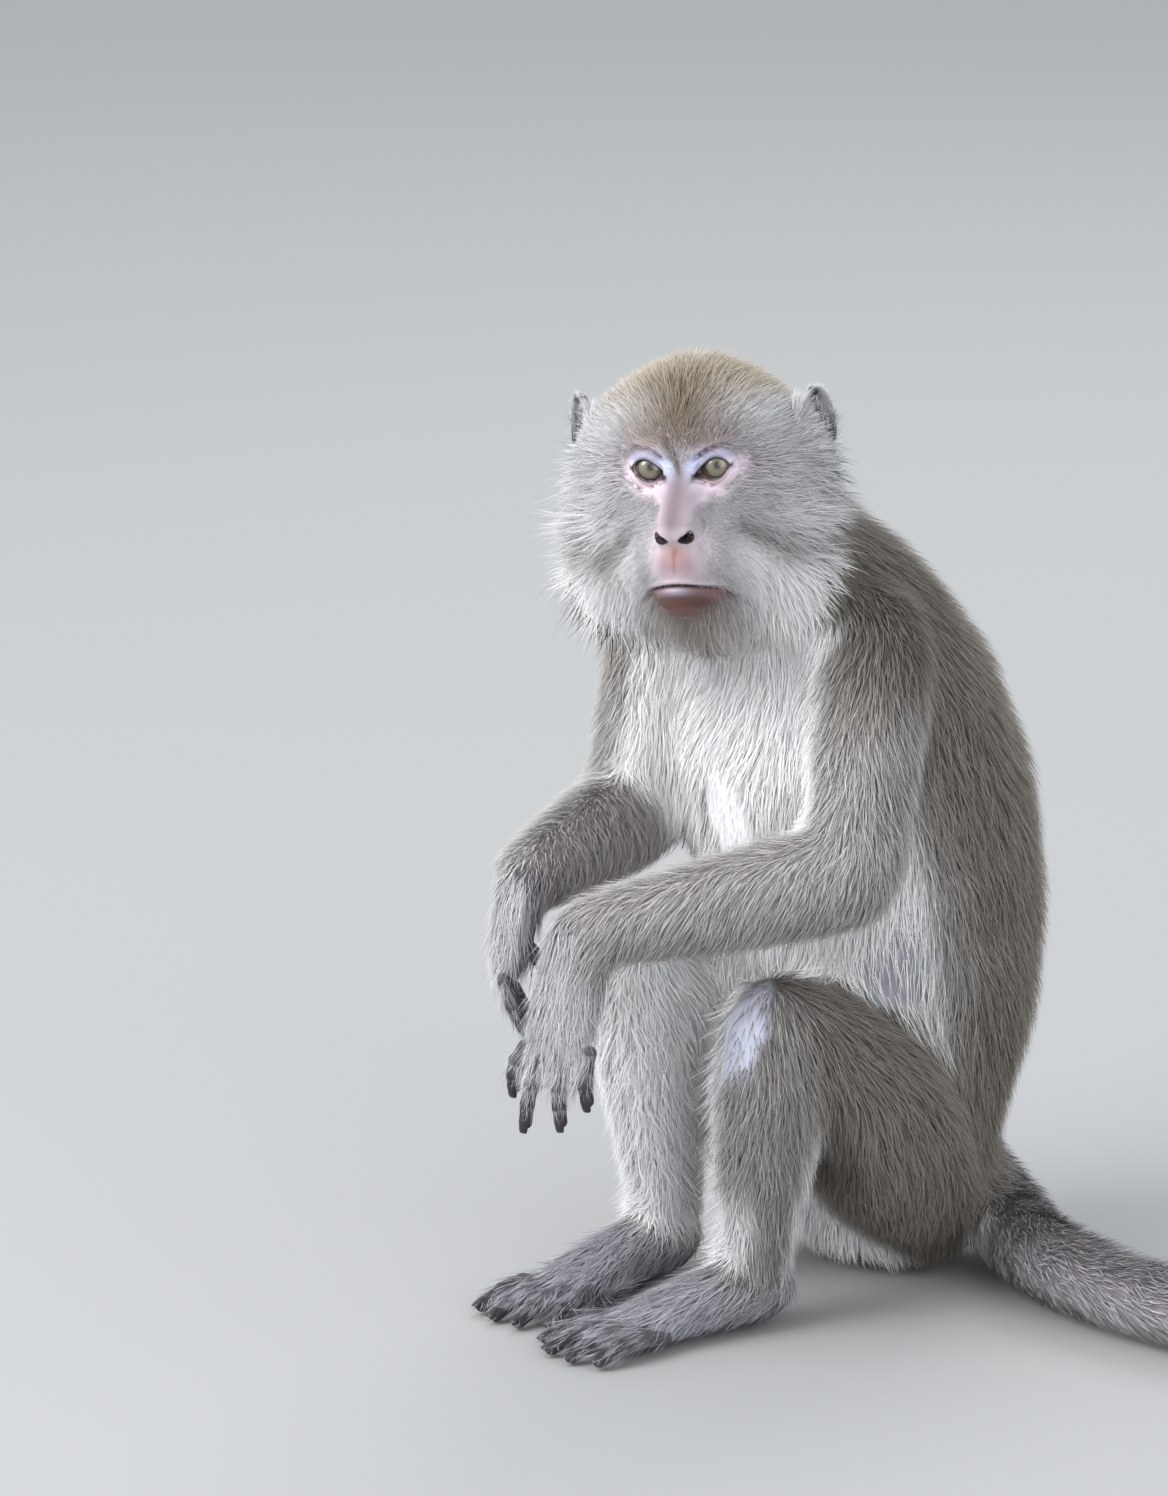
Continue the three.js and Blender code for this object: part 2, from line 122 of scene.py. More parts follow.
class Grid:
    """Numbers at evenly spaced points in space."""

    def __init__(self, low, spacing, values):
        self.low = np.asarray(low, float)
        self.spacing = spacing
        self.values = values

    def sample(self, points):
        place = (points - self.low) / self.spacing
        place = np.clip(place, 0, np.array(self.values.shape) - 1.001)
        i = place.astype(int)
        f = (place - i).astype(np.float32)
        x, y, z = i.T
        fx, fy, fz = f.T
        v = self.values

        def layer(z):
            near = mix(v[x, y, z], v[x + 1, y, z], fx)
            far = mix(v[x, y + 1, z], v[x + 1, y + 1, z], fx)
            return mix(near, far, fy)

        return mix(layer(z), layer(z + 1), fz)

    def outward(self, points):
        """The direction in which the number grows fastest."""
        steps = np.eye(3) * self.spacing
        return unit(np.stack([self.sample(points + s) - self.sample(points - s) for s in steps], 1))

    def finer(self):
        """The same numbers on a grid with half the spacing."""
        v = self.values
        for axis in range(3):
            v = np.moveaxis(v, axis, 0)
            fine = np.empty((2 * len(v) - 1, *v.shape[1:]), v.dtype)
            fine[::2] = v
            fine[1::2] = (v[:-1] + v[1:]) / 2
            v = np.moveaxis(fine, 0, axis)
        return Grid(self.low, self.spacing / 2, v)

    def blurred(self, passes):
        v = self.values
        for _ in range(passes):
            for axis in range(3):
                v = np.moveaxis(v, axis, 0)
                soft = v.copy()
                soft[1:-1] = (v[:-2] + 2 * v[1:-1] + v[2:]) / 4
                v = np.moveaxis(soft, 0, axis)
        return Grid(self.low, self.spacing, v)


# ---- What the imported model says


def read_all(items, field, width, kind=np.float32):
    """A field of all of a mesh's corners, edges or triangles, as one row for each."""
    found = np.empty(len(items) * width, kind)
    items.foreach_get(field, found)
    return found.reshape(-1, width)


def mesh_triangles(mesh):
    mesh.calc_loop_triangles()
    return read_all(mesh.loop_triangles, "vertices", 3, np.int32)


def node_surface(name):
    """The corners and triangles of a CAD part, in millimetres."""
    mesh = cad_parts[name].data
    return read_all(mesh.vertices, "co", 3) / MM, mesh_triangles(mesh)


SURFACE_SAMPLES = 3000


def scattered(corners, count, seed):
    """Random points, evenly spread over triangles given as (n, 3, 3) corners."""
    random = np.random.default_rng(seed)
    area = np.linalg.norm(np.cross(corners[:, 1] - corners[:, 0], corners[:, 2] - corners[:, 0]), axis=1)
    chosen = random.choice(len(corners), count, p=area / area.sum())
    u = np.sqrt(random.random((count, 1)))
    v = random.random((count, 1))
    a, b, c = corners[chosen].swapaxes(0, 1)
    return a * (1 - u) + b * u * (1 - v) + c * u * v


def centreline(name, start, stations):
    """Points along the middle of a CAD part, from its end nearest to start, and its radius there."""
    points, triangles = node_surface(name)
    cloud = scattered(points[triangles], SURFACE_SAMPLES, 5)
    middle = cloud.mean(0)
    _, axes = np.linalg.eigh(np.cov((cloud - middle).T))
    along = axes[:, 2]
    if (start - middle) @ along > 0:
        along = -along
    place = (cloud - middle) @ along
    low, high = place.min(), place.max()
    half = (high - low) / 2
    across = np.median(np.linalg.norm(cloud - middle - np.outer(place, along), axis=1))
    reach = max(half - across * 0.9, half * 0.15)
    window = max(half / stations, across * 0.35)
    centres = []
    radii = []
    for share in np.linspace(-1, 1, stations):
        at = (low + high) / 2 + share * reach
        close = cloud[np.abs(place - at) < window]
        centre = close.mean(0)
        centre = centre + along * (at - (centre - middle) @ along)
        offset = close - centre
        offset = offset - np.outer(offset @ along, along)
        centres.append(centre)
        radii.append(np.median(np.linalg.norm(offset, axis=1)))
    return np.array(centres), np.array(radii)


def box_centre(name):
    low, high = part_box(name)
    return np.array((low + high) / 2) / MM


SIDES = ("left", "right")
FINGERS = ("thumb", "index_finger", "middle_finger", "ring_finger", "little_finger")
TOES = ("big_toe", "toe_2", "toe_3", "toe_4", "toe_5")
LIMB_CHAINS = (  # what carries the part, the part, and how many stations it gets
    ("neck", "upper_arm", 3),
    ("upper_arm", "forearm", 3),
    ("forearm", "hand", 2),
    *(("hand", finger, 4) for finger in FINGERS),
    ("abdomen", "thigh", 3),
    ("thigh", "shank", 3),
    ("shank", "foot", 3),
    *(("foot", toe, 4) for toe in TOES),
)
TAIL_CHAIN = ("tail_1", "tail_2", "tail_3", "tail_4", "tail_5")
NECK_RADII = np.array([55.0, 48.0, 44.0])  # at the chest, midway and at the head


def read_skeleton():
    """The centreline and radii of every part of flesh, by name, each from the body outward."""
    lines = {}
    seat = box_centre("abdomen") * [1, 1, 0]
    for name in ("abdomen", "chest"):
        lines[name] = centreline(name, seat, 3)
    lines["head"] = centreline("head", box_centre("neck"), 3)
    nape = np.array([lines["chest"][0][-1], box_centre("neck"), lines["head"][0][0]])
    lines["neck"] = nape, NECK_RADII
    before = box_centre("abdomen")
    for name in TAIL_CHAIN:
        lines[name] = centreline(name, before, 3)
        before = lines[name][0][-1]
    for side in SIDES:
        for carrier, name, stations in LIMB_CHAINS:
            if carrier in ("neck", "abdomen"):
                start = box_centre(carrier)
            else:
                start = lines[f"{carrier}_{side}"][0][0 if carrier == "hand" else -1]
            lines[f"{name}_{side}"] = centreline(f"{name}_{side}", start, stations)
        lines[f"ear_{side}"] = centreline(f"ear_{side}", box_centre("neck"), 2)
    return lines


SKELETON = read_skeleton()
PARTS = list(SKELETON)


def kind_of(part):
    """The part's name without its side or number."""
    plain = part.removesuffix("_left").removesuffix("_right")
    if plain in FINGERS:
        return "finger"
    if plain in TOES:
        return "toe"
    return "tail" if plain.startswith("tail") else plain


KINDS = [kind_of(part) for part in PARTS]


def is_kind(*kinds):
    return np.array([kind in kinds for kind in KINDS], np.float32)


def is_side(side):
    return np.array([part.endswith(side) for part in PARTS], np.float32)


def segment_distance(points, a, b):
    """How far each point is from the line from a to b, and its share of the way along it."""
    along = b - a
    t = np.clip(((points - a) @ along) / (along @ along), 0, 1)
    return np.linalg.norm(points - a - t[:, None] * along, axis=1), t


def part_shares(points, sharpness=7):
    """How much each point belongs to each part, as shares that add up to 1."""
    points = np.asarray(points, np.float32)
    shares = np.empty((len(points), len(PARTS)), np.float32)
    for i, part in enumerate(PARTS):
        centres, radii = SKELETON[part]
        nearest = np.full(len(points), np.inf, np.float32)
        for a, b in zip(centres[:-1].astype(np.float32), centres[1:].astype(np.float32)):
            nearest = np.minimum(nearest, segment_distance(points, a, b)[0])
        shares[:, i] = nearest / radii.mean()
    shares = np.maximum(shares, 0.05) ** -sharpness
    return shares / shares.sum(1, keepdims=True)


# ---- The head's own frame: x to its left, y backward, z up, from the middle of the eyes' fronts

EYE_RADIUS = 9.0
HEAD_BOW = math.radians(3)  # how far below level the face looks


def head_frame():
    left, right = box_centre("eye_left"), box_centre("eye_right")
    x = unit(left - right)
    turn = math.atan2(x[1], x[0]) + math.asin(math.tan(HEAD_BOW) * x[2] / math.hypot(x[0], x[1]))
    y = -heading(turn, -HEAD_BOW)
    return (left + right) / 2 - EYE_RADIUS * y, np.stack([x, y, np.cross(x, y)])


HEAD_ORIGIN, HEAD_AXES = head_frame()


def to_head(points):
    return (points - HEAD_ORIGIN) @ HEAD_AXES.T


def on_left(q):
    """Points of the head's frame, with the right side mirrored onto the left."""
    return np.stack([np.abs(q[:, 0]), q[:, 1], q[:, 2]], 1)


EYE_X = float(to_head(box_centre("eye_left"))[0])
EYE = np.array([EYE_X, EYE_RADIUS, 0], np.float32)

# ---- The shape of the bare head, under the coat


def oval(q, centre, radii):
    scaled = (q - np.array(centre, np.float32)) / np.array(radii, np.float32)
    length = np.linalg.norm(scaled, axis=1)
    slope = np.linalg.norm(scaled / np.array(radii, np.float32), axis=1)
    return length * (length - 1) / np.maximum(slope, 1e-6)


def bar(q, start, end, start_radius, end_radius):
    distance, t = segment_distance(q, np.array(start, np.float32), np.array(end, np.float32))
    return distance - mix(start_radius, end_radius, t)


SOCKET_RADIUS = 11.4
LID_RADIUS = 10.5
OPENING = {"inner": 8.6, "outer": 7.4, "upper": 5.3, "lower": 4.7, "slant": 0.2}


def lid_place(q):
    """Across and up from the middle of the nearer eye, with the slant of the lids taken out."""
    across = np.abs(q[:, 0]) - EYE_X
    return across, q[:, 2] - OPENING["slant"] * across


def lid_edges(across):
    """Height of the upper and the lower lid's edge above the middle of the eye."""
    inner = np.clip(-across / OPENING["inner"], 0, 1)
    outer = np.clip(across / OPENING["outer"], 0, 1)
    shape = np.where(across < 0, 1 - inner**1.6, 1 - outer**2.3)
    return OPENING["upper"] * shape, -OPENING["lower"] * shape


def lid_arch(across):
    """Height of a wide arch over the eye that touches the top of the upper lid's edge."""
    return OPENING["upper"] * np.clip(1 - (across / 12) ** 2, 0, 1)


def outside_opening(q):
    """Roughly how far a point is from the gap between the lids, seen from the front."""
    across, up = lid_place(q)
    upper, lower = lid_edges(across)
    beyond = np.maximum(across - OPENING["outer"], -across - OPENING["inner"])
    return np.maximum(np.maximum(up - upper, lower - up), beyond * 0.8)


MOUTH_HEIGHT = -46.8
MOUTH_DROP = 0.0226
MOUTH_HALF = 20.5


def mouth_line(x):
    return MOUTH_HEIGHT - MOUTH_DROP * np.minimum(np.abs(x), MOUTH_HALF + 2) ** 2


def frown_line(x, z):
    """How far a place is from the slanting crease between the brows."""
    return x + 0.36 * (z - 1)


def face_relief(q):
    """How far the face's fine folds lie below (+) or above (-) its plain form."""
    x, y, z = q.T
    side = np.abs(x)
    front = step(14, 6, y)
    across, up = lid_place(q)
    _, lower = lid_edges(across)
    over_eye = step(-12, -8, across) * step(11, 8, across) * front
    over_lid = up - lid_arch(across)
    fold = 0.6 * bell(over_lid - 4.4, 1.1) * over_eye
    puff = -0.5 * bell(over_lid - 2.0, 1.6) * over_eye
    bag = 0.5 * bell(up - lower + 2.6, 0.6) * over_eye
    bag = bag + 0.2 * bell(up + 11.5 - 0.04 * across**2, 1.3) * over_eye
    frown = 1.2 * bell(frown_line(x, z), 0.8) * step(1, 4, z) * step(19, 14, z)
    bridge = 0.5 * bell(z + 1.0, 1.4) * bell(x, 5)
    line = z - mouth_line(x)
    lips = step(MOUTH_HALF + 1.5, MOUTH_HALF - 3, side) * step(16, 8, y)
    mouth = 2.2 * bell(line, 0.75) * lips
    upper_lip = -0.7 * bell(line - 2.0, 1.3) * lips
    lower_lip = -0.7 * bell(line + 2.6, 1.7) * step(14, 4, side)
    under_lip = 0.5 * bell(line + 7.4, 1.8) * step(14, 8, side)
    philtrum = 0.55 * bell(x, 0.9) * step(-30, -33, z) * step(-44, -38, z)
    cheek_fold = 0.9 * bell(side - 10 - 0.42 * (-z - 30), 1.6) * step(-26, -32, z) * step(-56, -48, z)
    wing_fold = 0.8 * bell(np.hypot(side - 5.2, (z + 24) * 0.9) - 5.0, 0.8) * step(-29, -25, z)
    wing_fold = wing_fold * step(-17, -21, z) * step(3, 5, side) * front
    creases = fold + puff + bag + frown + bridge + philtrum + cheek_fold * front + wing_fold
    return creases + mouth + (upper_lip + lower_lip + under_lip) * step(12, 4, y)


def nostril_distance(q):
    """Distance to the left nostril: a slit, and the hole that runs back from it."""
    slit = bar(q, (3.3, -30.2, -27.0), (7.8, -26.0, -24.2), 1.6, 2.3)
    return np.minimum(slit, bar(q, (5.2, -29, -26), (4.4, -22, -22), 1.9, 1.2))


SKULL = (0, 43, -0.5), (39, 43.5, 38)
HEAD_FORMS = (  # the left half's forms in order, and how softly each joins those before it
    (oval, ((25, 42, 5), (19, 27, 21)), 9),  # above the ear
    (bar, ((3, 5.5, 13), (25, 15, 12), 7.3, 6.2), 8),  # brow
    (oval, ((0, 16, -16), (30, 20.5, 23)), 8),  # between the cheeks
    (bar, ((13, 12, -15), (28, 24, -12), 8, 8), 7),  # cheekbone
    (oval, ((0, 12, -42), (27, 31, 26)), 9),  # jaws
    (bar, ((0, 8, -2), (0, -20.5, -20), 6.6, 8.6), 8),  # ridge of the nose
    (bar, ((2.6, -24.6, -22), (5.6, -23, -24.5), 4.6, 3.7), 2.5),  # wing of the nose
    (bar, ((0, 0, -37), (0, -13.5, -40.5), 17, 14.6), 7),  # upper lip
    (bar, ((0, 12, -54), (0, -10.5, -55), 16.5, 11.6), 6),  # lower lip and chin
    (bar, ((18, 14, -34), (32, 32, -40), 13, 17), 12),  # cheek
    (oval, ((0, 34, -58), (32, 28, 26)), 12),  # throat
)


def head_distance(q):
    """Distance to the skin of the head, at points in the head's frame."""
    left = on_left(q)
    d = oval(left, *SKULL)
    for form, measures, blend in HEAD_FORMS:
        d = smooth_min(d, form(left, *measures), blend)
    from_eye = np.linalg.norm(left - EYE, axis=1)
    d = smooth_max(d, np.where(q[:, 1] < 12, SOCKET_RADIUS - from_eye, -50), 4)
    d = smooth_min(d, from_eye - LID_RADIUS, 2.4)
    d = d + face_relief(q)
    cavity = np.maximum(outside_opening(q), EYE_RADIUS - 0.7 - from_eye)
    d = smooth_max(d, -np.where(q[:, 1] < 7, cavity, 50), 0.7)
    return smooth_max(d, -nostril_distance(left), 0.8)


# ---- Ears

EAR = {"half_height": 21.5, "half_width": 14.0, "cup": 5.5, "thick": 1.25}
EAR_FLARE = math.radians(33)
EAR_LEAN = math.radians(8)
EAR_PLACE = np.array([48, 49, 3], np.float32)


def ear_place(q):
    """Points in the ear's frame: out from the head, back and up, from the middle of its base."""
    x, y, z = (on_left(q) - EAR_PLACE).T
    out = x * math.cos(EAR_FLARE) - y * math.sin(EAR_FLARE)
    back = x * math.sin(EAR_FLARE) + y * math.cos(EAR_FLARE)
    up = back * math.sin(EAR_LEAN) + z * math.cos(EAR_LEAN)
    return out, back * math.cos(EAR_LEAN) - z * math.sin(EAR_LEAN), up


def ear_share(back, up):
    """0 in the middle of the ear and 1 at its edge."""
    reach = np.hypot(back / EAR["half_width"], up / EAR["half_height"])
    point = 1 + 0.1 * np.clip(up / EAR["half_height"] / np.maximum(reach, 1e-3), 0, 1) ** 6
    return np.hypot(back / EAR["half_width"], up / (EAR["half_height"] * point))


def ear_distance(q):
    out, back, up = ear_place(q)
    share = ear_share(back, up)
    sheet = EAR["cup"] * share**2 + 1.6 - 2.2 * bell(share, 0.35)
    sheet = sheet + 0.9 * bell(share - 0.62, 0.09) * step(-8, 2, back) - 0.8 * bell(share - 0.78, 0.08)
    thick = EAR["thick"] + 0.55 * bell(share - 0.93, 0.08) + 1.5 * bell(share, 0.4)
    slope = np.hypot(1, 2 * EAR["cup"] * share / EAR["half_width"])
    shell = smooth_max(np.abs(out - sheet) / slope - thick, (share - 0.97) * EAR["half_width"], 1.2)
    return smooth_min(shell, bar(on_left(q), (34, 50, 0), (48, 50, 1), 8, 6), 5)


# ---- The whole skin as one distance

COARSE = 3.6  # spacing of the points that the outline's distance is known at
MARGIN = 12.0  # how far they reach past the solids
OUTLINE_REACH = 30.0  # the largest distance that is kept
FLESH_DEPTH = {  # how far the skin lies inside the coat's outline
    "head": 24, "neck": 13, "chest": 11, "abdomen": 10, "tail": 6.5, "upper_arm": 9, "forearm": 7,
    "hand": 2.6, "finger": 4.6, "thigh": 9, "shank": 8, "foot": 2.6, "toe": 4.8, "ear": 6,
}
DEPTHS = np.array([FLESH_DEPTH[kind] for kind in KINDS], np.float32)
PRESSED = 0.35  # share of the coat's depth that is left where the animal sits on it
DIGIT_FLESH = 0.83  # share of a digit's radius that is flesh


def grid_points(low, spacing, shape):
    axes = [low[i] + spacing * np.arange(shape[i]) for i in range(3)]
    return np.stack(np.meshgrid(*axes, indexing="ij"), -1).reshape(-1, 3).astype(np.float32)


def level_set(points, triangles, quads, low, shape, reach):
    """Signed distance to a closed surface on the coarse grid, up to the given reach."""
    transform = openvdb.createLinearTransform(voxelSize=COARSE)
    transform.postTranslate(tuple(low))
    volume = openvdb.FloatGrid.createLevelSetFromPolygons(
        points.astype(np.float32),
        triangles=triangles,
        quads=quads,
        transform=transform,
        halfWidth=reach / COARSE,
    )
    values = np.empty(shape, np.float32)
    volume.copyToArray(values, ijk=(0, 0, 0))
    return volume, values


def coat_outline():
    """Distance to the outline of all the solids together, as one grid."""
    low = np.array(CAD_BOX[0]) / MM - MARGIN
    shape = np.ceil((np.array(CAD_BOX[1]) / MM + MARGIN - low) / (2 * COARSE)).astype(int) * 2 + 1
    corners, faces, total = [], [], 0
    for part in PARTS + ["eye_left", "eye_right"]:
        points, triangles = node_surface(part)
        corners.append(points)
        faces.append(triangles + total)
        total += len(points)
    faces = np.concatenate(faces).astype(np.uint32)
    volume, _ = level_set(np.concatenate(corners), faces, None, low, shape, 3 * COARSE)
    points, triangles, quads = volume.convertToPolygons(isovalue=0.0, adaptivity=0.0)
    _, values = level_set(points, triangles, quads, low, shape, OUTLINE_REACH)
    return Grid(low, COARSE, values)


COAT = coat_outline()


def flesh_grid():
    """Distance to the flesh of the trunk and limbs, without the details of head and digits."""
    sparse = COAT.values[::2, ::2, ::2]
    places = grid_points(COAT.low, 2 * COARSE, sparse.shape)
    depth = np.full(sparse.size, DEPTHS.max(), np.float32)
    close = (np.abs(sparse) < OUTLINE_REACH - 1).ravel()
    depth[close] = part_shares(places[close]) @ DEPTHS
    depth = Grid(COAT.low, 2 * COARSE, depth.reshape(sparse.shape)).finer()
    above_floor = step(0.0, 10.0, COAT.low[2] + COARSE * np.arange(COAT.values.shape[2]))
    depth = depth.values * (PRESSED + (1 - PRESSED) * above_floor)
    return Grid(COAT.low, COARSE, COAT.blurred(2).values + depth)


FLESH = flesh_grid()


def paw_of(part):
    side = part.rsplit("_", 1)[1]
    return ("hand" if kind_of(part) in ("hand", "finger") else "foot"), side


def digit_chain(part):
    """Centres and radii of a finger or toe, with its root carried into the hand or foot."""
    centres, radii = SKELETON[part]
    paw, side = paw_of(part)
    middle = SKELETON[f"{paw}_{side}"][0][-1]
    joined = [mix(centres[0], middle, 0.6), mix(centres[0], middle, 0.12)]
    sizes = np.maximum(radii, [0.85 * radii[1], 0, 0, 0]) * DIGIT_FLESH
    return np.vstack([joined, centres[1:]]), np.array([sizes[0], *sizes])


def chain_distance(chain, waist, points):
    """Distance to tapered bars in a row, with a narrower waist in those after the first."""
    centres, radii = chain
    d = np.full(len(points), np.inf)
    for i in range(len(centres) - 1):
        distance, t = segment_distance(points, centres[i], centres[i + 1])
        narrow = 1 - waist * np.sin(math.pi * t) * (i > 0)
        d = np.minimum(d, distance - mix(radii[i], radii[i + 1], t) * narrow)
    return d


def from_head_frame(distance, points):
    return distance(to_head(points).astype(np.float32))


def box_of(names, margin):
    boxes = [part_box(name) for name in names]
    low = np.min([np.array(b[0]) for b in boxes], axis=0) / MM - margin
    high = np.max([np.array(b[1]) for b in boxes], axis=0) / MM + margin
    return low, high


DIGITS = [part for part, kind in zip(PARTS, KINDS) if kind in ("finger", "toe")]
TAIL_END = TAIL_CHAIN[-1]
TAIL_CORE = SKELETON[TAIL_END][0], (6.0, 5.0, 4.0)  # its last bones, which run on to the tip
HEAD_BOX = box_of(["head", "ear_left", "ear_right"], 2)
TAIL_BOX = box_of([TAIL_END], 4)
PAW_BOXES = [
    box_of([f"{digit}_{side}" for digit in digits], 8) for side in SIDES for digits in (FINGERS, TOES)
]
DETAILS = [  # the box of each finer form, the distance to it, and how softly it joins the flesh
    (HEAD_BOX, partial(from_head_frame, head_distance), 8),
    (HEAD_BOX, partial(from_head_frame, ear_distance), 4),
    *((box_of([part], 8), partial(chain_distance, digit_chain(part), 0.07), 2) for part in DIGITS),
    (TAIL_BOX, partial(chain_distance, TAIL_CORE, 0), 3),
]


def skin_distance(points):
    """Distance to the skin anywhere, with the head, ears and digits in full detail."""
    d = FLESH.sample(points).astype(np.float64)
    for box, distance, blend in DETAILS:
        near = within(points, *box)
        if near.any():
            d[near] = smooth_min(d[near], distance(points[near]), blend)
    return d


def settle(points, rounds=3, reach=0.25, most=0.8):
    """Moves points onto the skin, down the slope of its distance."""
    for _ in range(rounds):
        here = skin_distance(points)
        slope = np.stack([skin_distance(points + s) - here for s in np.eye(3) * reach], 1) / reach
        away = here / np.maximum((slope**2).sum(1), 0.25)
        points = points - slope * np.clip(away, -most, most)[:, None]
    return points


def base_skin():
    """The skin as one closed mesh of even squares."""
    fine = FLESH.finer()
    for low, high in (HEAD_BOX, TAIL_BOX, *PAW_BOXES):
        first = np.maximum(((low - fine.low) / fine.spacing).astype(int), 0)
        last = np.minimum(((high - fine.low) / fine.spacing).astype(int) + 1, fine.values.shape)
        shape = last - first
        places = grid_points(fine.low + first * fine.spacing, fine.spacing, shape)
        box = tuple(slice(a, b) for a, b in zip(first, last))
        fine.values[box] = skin_distance(places).reshape(shape)
    reach = 3 * fine.spacing
    volume = openvdb.FloatGrid(reach)
    volume.transform = openvdb.createLinearTransform(voxelSize=fine.spacing)
    volume.transform.postTranslate(tuple(fine.low))
    volume.copyFromArray(np.ascontiguousarray(np.clip(fine.values, -reach, reach)), tolerance=0.0)
    points, _, quads = volume.convertToPolygons(isovalue=0.0, adaptivity=0.0)
    return points.astype(float), quads.astype(int)


# Boxes on the left of the head, in its frame, that get a finer mesh
FACE = (-1, -math.inf, -66), (34, 34, 24)
MUZZLE = (-1, -math.inf, -60), (21, 2, -20)
BROW = (-1, -math.inf, -4), (9, 8, 20)
ROUND_EAR = (38, 28, -24), (math.inf, math.inf, 32)


def detail_zone(points):
    """The face, the ears and the digits."""
    q = on_left(to_head(points))
    ears = within(q, *ROUND_EAR)
    ears[ears] = ear_distance(q[ears]) < 1.5
    digits = np.any([within(points, *box_of([part], 1)) for part in DIGITS], axis=0)
    return within(q, *FACE) | ears | digits


def feature_zone(points):
    """Round the eyes, the nose and the mouth."""
    q = on_left(to_head(points))
    across, up = lid_place(q)
    eyes = (np.hypot(across, up) < 14) & (q[:, 1] < 14)
    return eyes | within(q, *MUZZLE) | within(q, *BROW)


def lid_zone(points):
    q = to_head(points)
    across, up = lid_place(q)
    return (np.hypot(across, up * 1.2) < 10.5) & (q[:, 1] < 12)


def split_where(mesh, zone):
    """Cuts each face in a zone in four, and moves the new points there onto the skin."""
    work = bmesh.new()
    work.from_mesh(mesh)
    points = mesh_points(mesh)
    chosen = zone(points)
    edges = [e for e in work.edges if chosen[e.verts[0].index] and chosen[e.verts[1].index]]
    bmesh.ops.subdivide_edges(work, edges=edges, cuts=1, use_grid_fill=True)
    work.to_mesh(mesh)
    work.free()
    points = mesh_points(mesh)
    chosen = zone(points)
    points[chosen] = settle(points[chosen])
    set_mesh_points(mesh, points)


def mesh_points(mesh):
    return read_all(mesh.vertices, "co", 3).astype(float) / MM


def set_mesh_points(mesh, points):
    mesh.vertices.foreach_set("co", (points * MM).astype(np.float32).ravel())
    mesh.update()


def mesh_from(name, points, faces):
    """A mesh from points in millimetres and faces that all have the same number of corners."""
    mesh = bpy.data.meshes.new(name)
    count, corners = faces.shape
    mesh.vertices.add(len(points))
    set_mesh_points(mesh, points)
    mesh.loops.add(count * corners)
    mesh.loops.foreach_set("vertex_index", faces.astype(np.int32).ravel())
    mesh.polygons.add(count)
    mesh.polygons.foreach_set("loop_start", np.arange(0, count * corners, corners, dtype=np.int32))
    mesh.update(calc_edges=True)
    return mesh


def add_piece(name, mesh, material):
    """A piece of the animal, in the scene and carried by its body."""
    mesh.name = name
    piece = bpy.data.objects.new(name, mesh)
    bpy.context.scene.collection.objects.link(piece)
    mesh.materials.append(material)
    mesh.shade_smooth()
    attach(piece, "root")
    return piece


def skin_mesh():
    points, quads = base_skin()
    corners = points[quads]
    volume = np.einsum("ij,ij->i", corners[:, 0], np.cross(corners[:, 1], corners[:, 2])).sum()
    if volume < 0:
        quads = quads[:, ::-1]
    mesh = mesh_from("skin", points, quads)
    for zone in (detail_zone, feature_zone, lid_zone):
        split_where(mesh, zone)
    return mesh


SKIN_MESH = skin_mesh()

# ---- Where the coat is thick, thin or missing

SKIN_POINTS = mesh_points(SKIN_MESH)
SKIN_NORMALS = read_all(SKIN_MESH.vertex_normals, "vector", 3).astype(float)
SKIN_SHARES = part_shares(SKIN_POINTS)
SKIN_IN_HEAD = to_head(SKIN_POINTS)


def skin_share(*kinds):
    """How much each point of the skin belongs to parts of those kinds."""
    return SKIN_SHARES @ is_kind(*kinds)


HEAD_SHARE = step(0.22, 0.5, skin_share("head", "ear"))
HEAD_COAT = step(0, 1, HEAD_SHARE)  # the same with a steeper change at the neck
ON_RIGHT = SKIN_SHARES @ is_side("right")
# How far each point of the skin faces the other side's limb, forward and up
MEDIAL = SKIN_NORMALS[:, 0] * (SKIN_SHARES @ (is_side("right") - is_side("left")))
FRONT = -SKIN_NORMALS[:, 1]
TOP = SKIN_NORMALS[:, 2]


def bare_face(q):
    """1 on the naked skin of the face and 0 in the coat."""
    x, y, z = q.T
    side = np.abs(x)
    line = z - mouth_line(x)
    ovals = (
        ((side - EYE_X - 0.5) / 12.5, (z - 0.5) / 10),  # round the eye
        ((side - 7) / 6, (z + 8) / 6),  # beside the nose
        (x / 7.5, (z + 15) / 15),  # nose
        (x / 9.5, (z + 32) / 11),  # nostrils and upper lip
        (x / 19, (line + 1.2) / 3),  # mouth
        (x / 14, (line + 5) / 6.5),  # lower lip
    )
    reach, *others = (np.hypot(*place) for place in ovals)
    for other in others:
        reach = smooth_min(reach, other, 0.2)
    return step(1.5, 0.8, reach) * step(32, 18, y)


FACE_BARE = bare_face(SKIN_IN_HEAD)


def unit_axis(part):
    centres = SKELETON[part][0]
    return unit(centres[-1] - centres[0])


def back_of(paw, side):
    """The direction that the back of a hand or the top of a foot faces."""
    rows = FINGERS if paw == "hand" else TOES
    roots = [SKELETON[f"{digit}_{side}"][0][0] for digit in rows[1:]]
    across = roots[0] - roots[-1]
    along = np.mean([unit_axis(f"{digit}_{side}") for digit in rows[1:]], axis=0)
    facing = unit(np.cross(across, along))
    return facing if side == "left" else -facing


PAW_BACKS = {(paw, side): back_of(paw, side) for paw in ("hand", "foot") for side in SIDES}


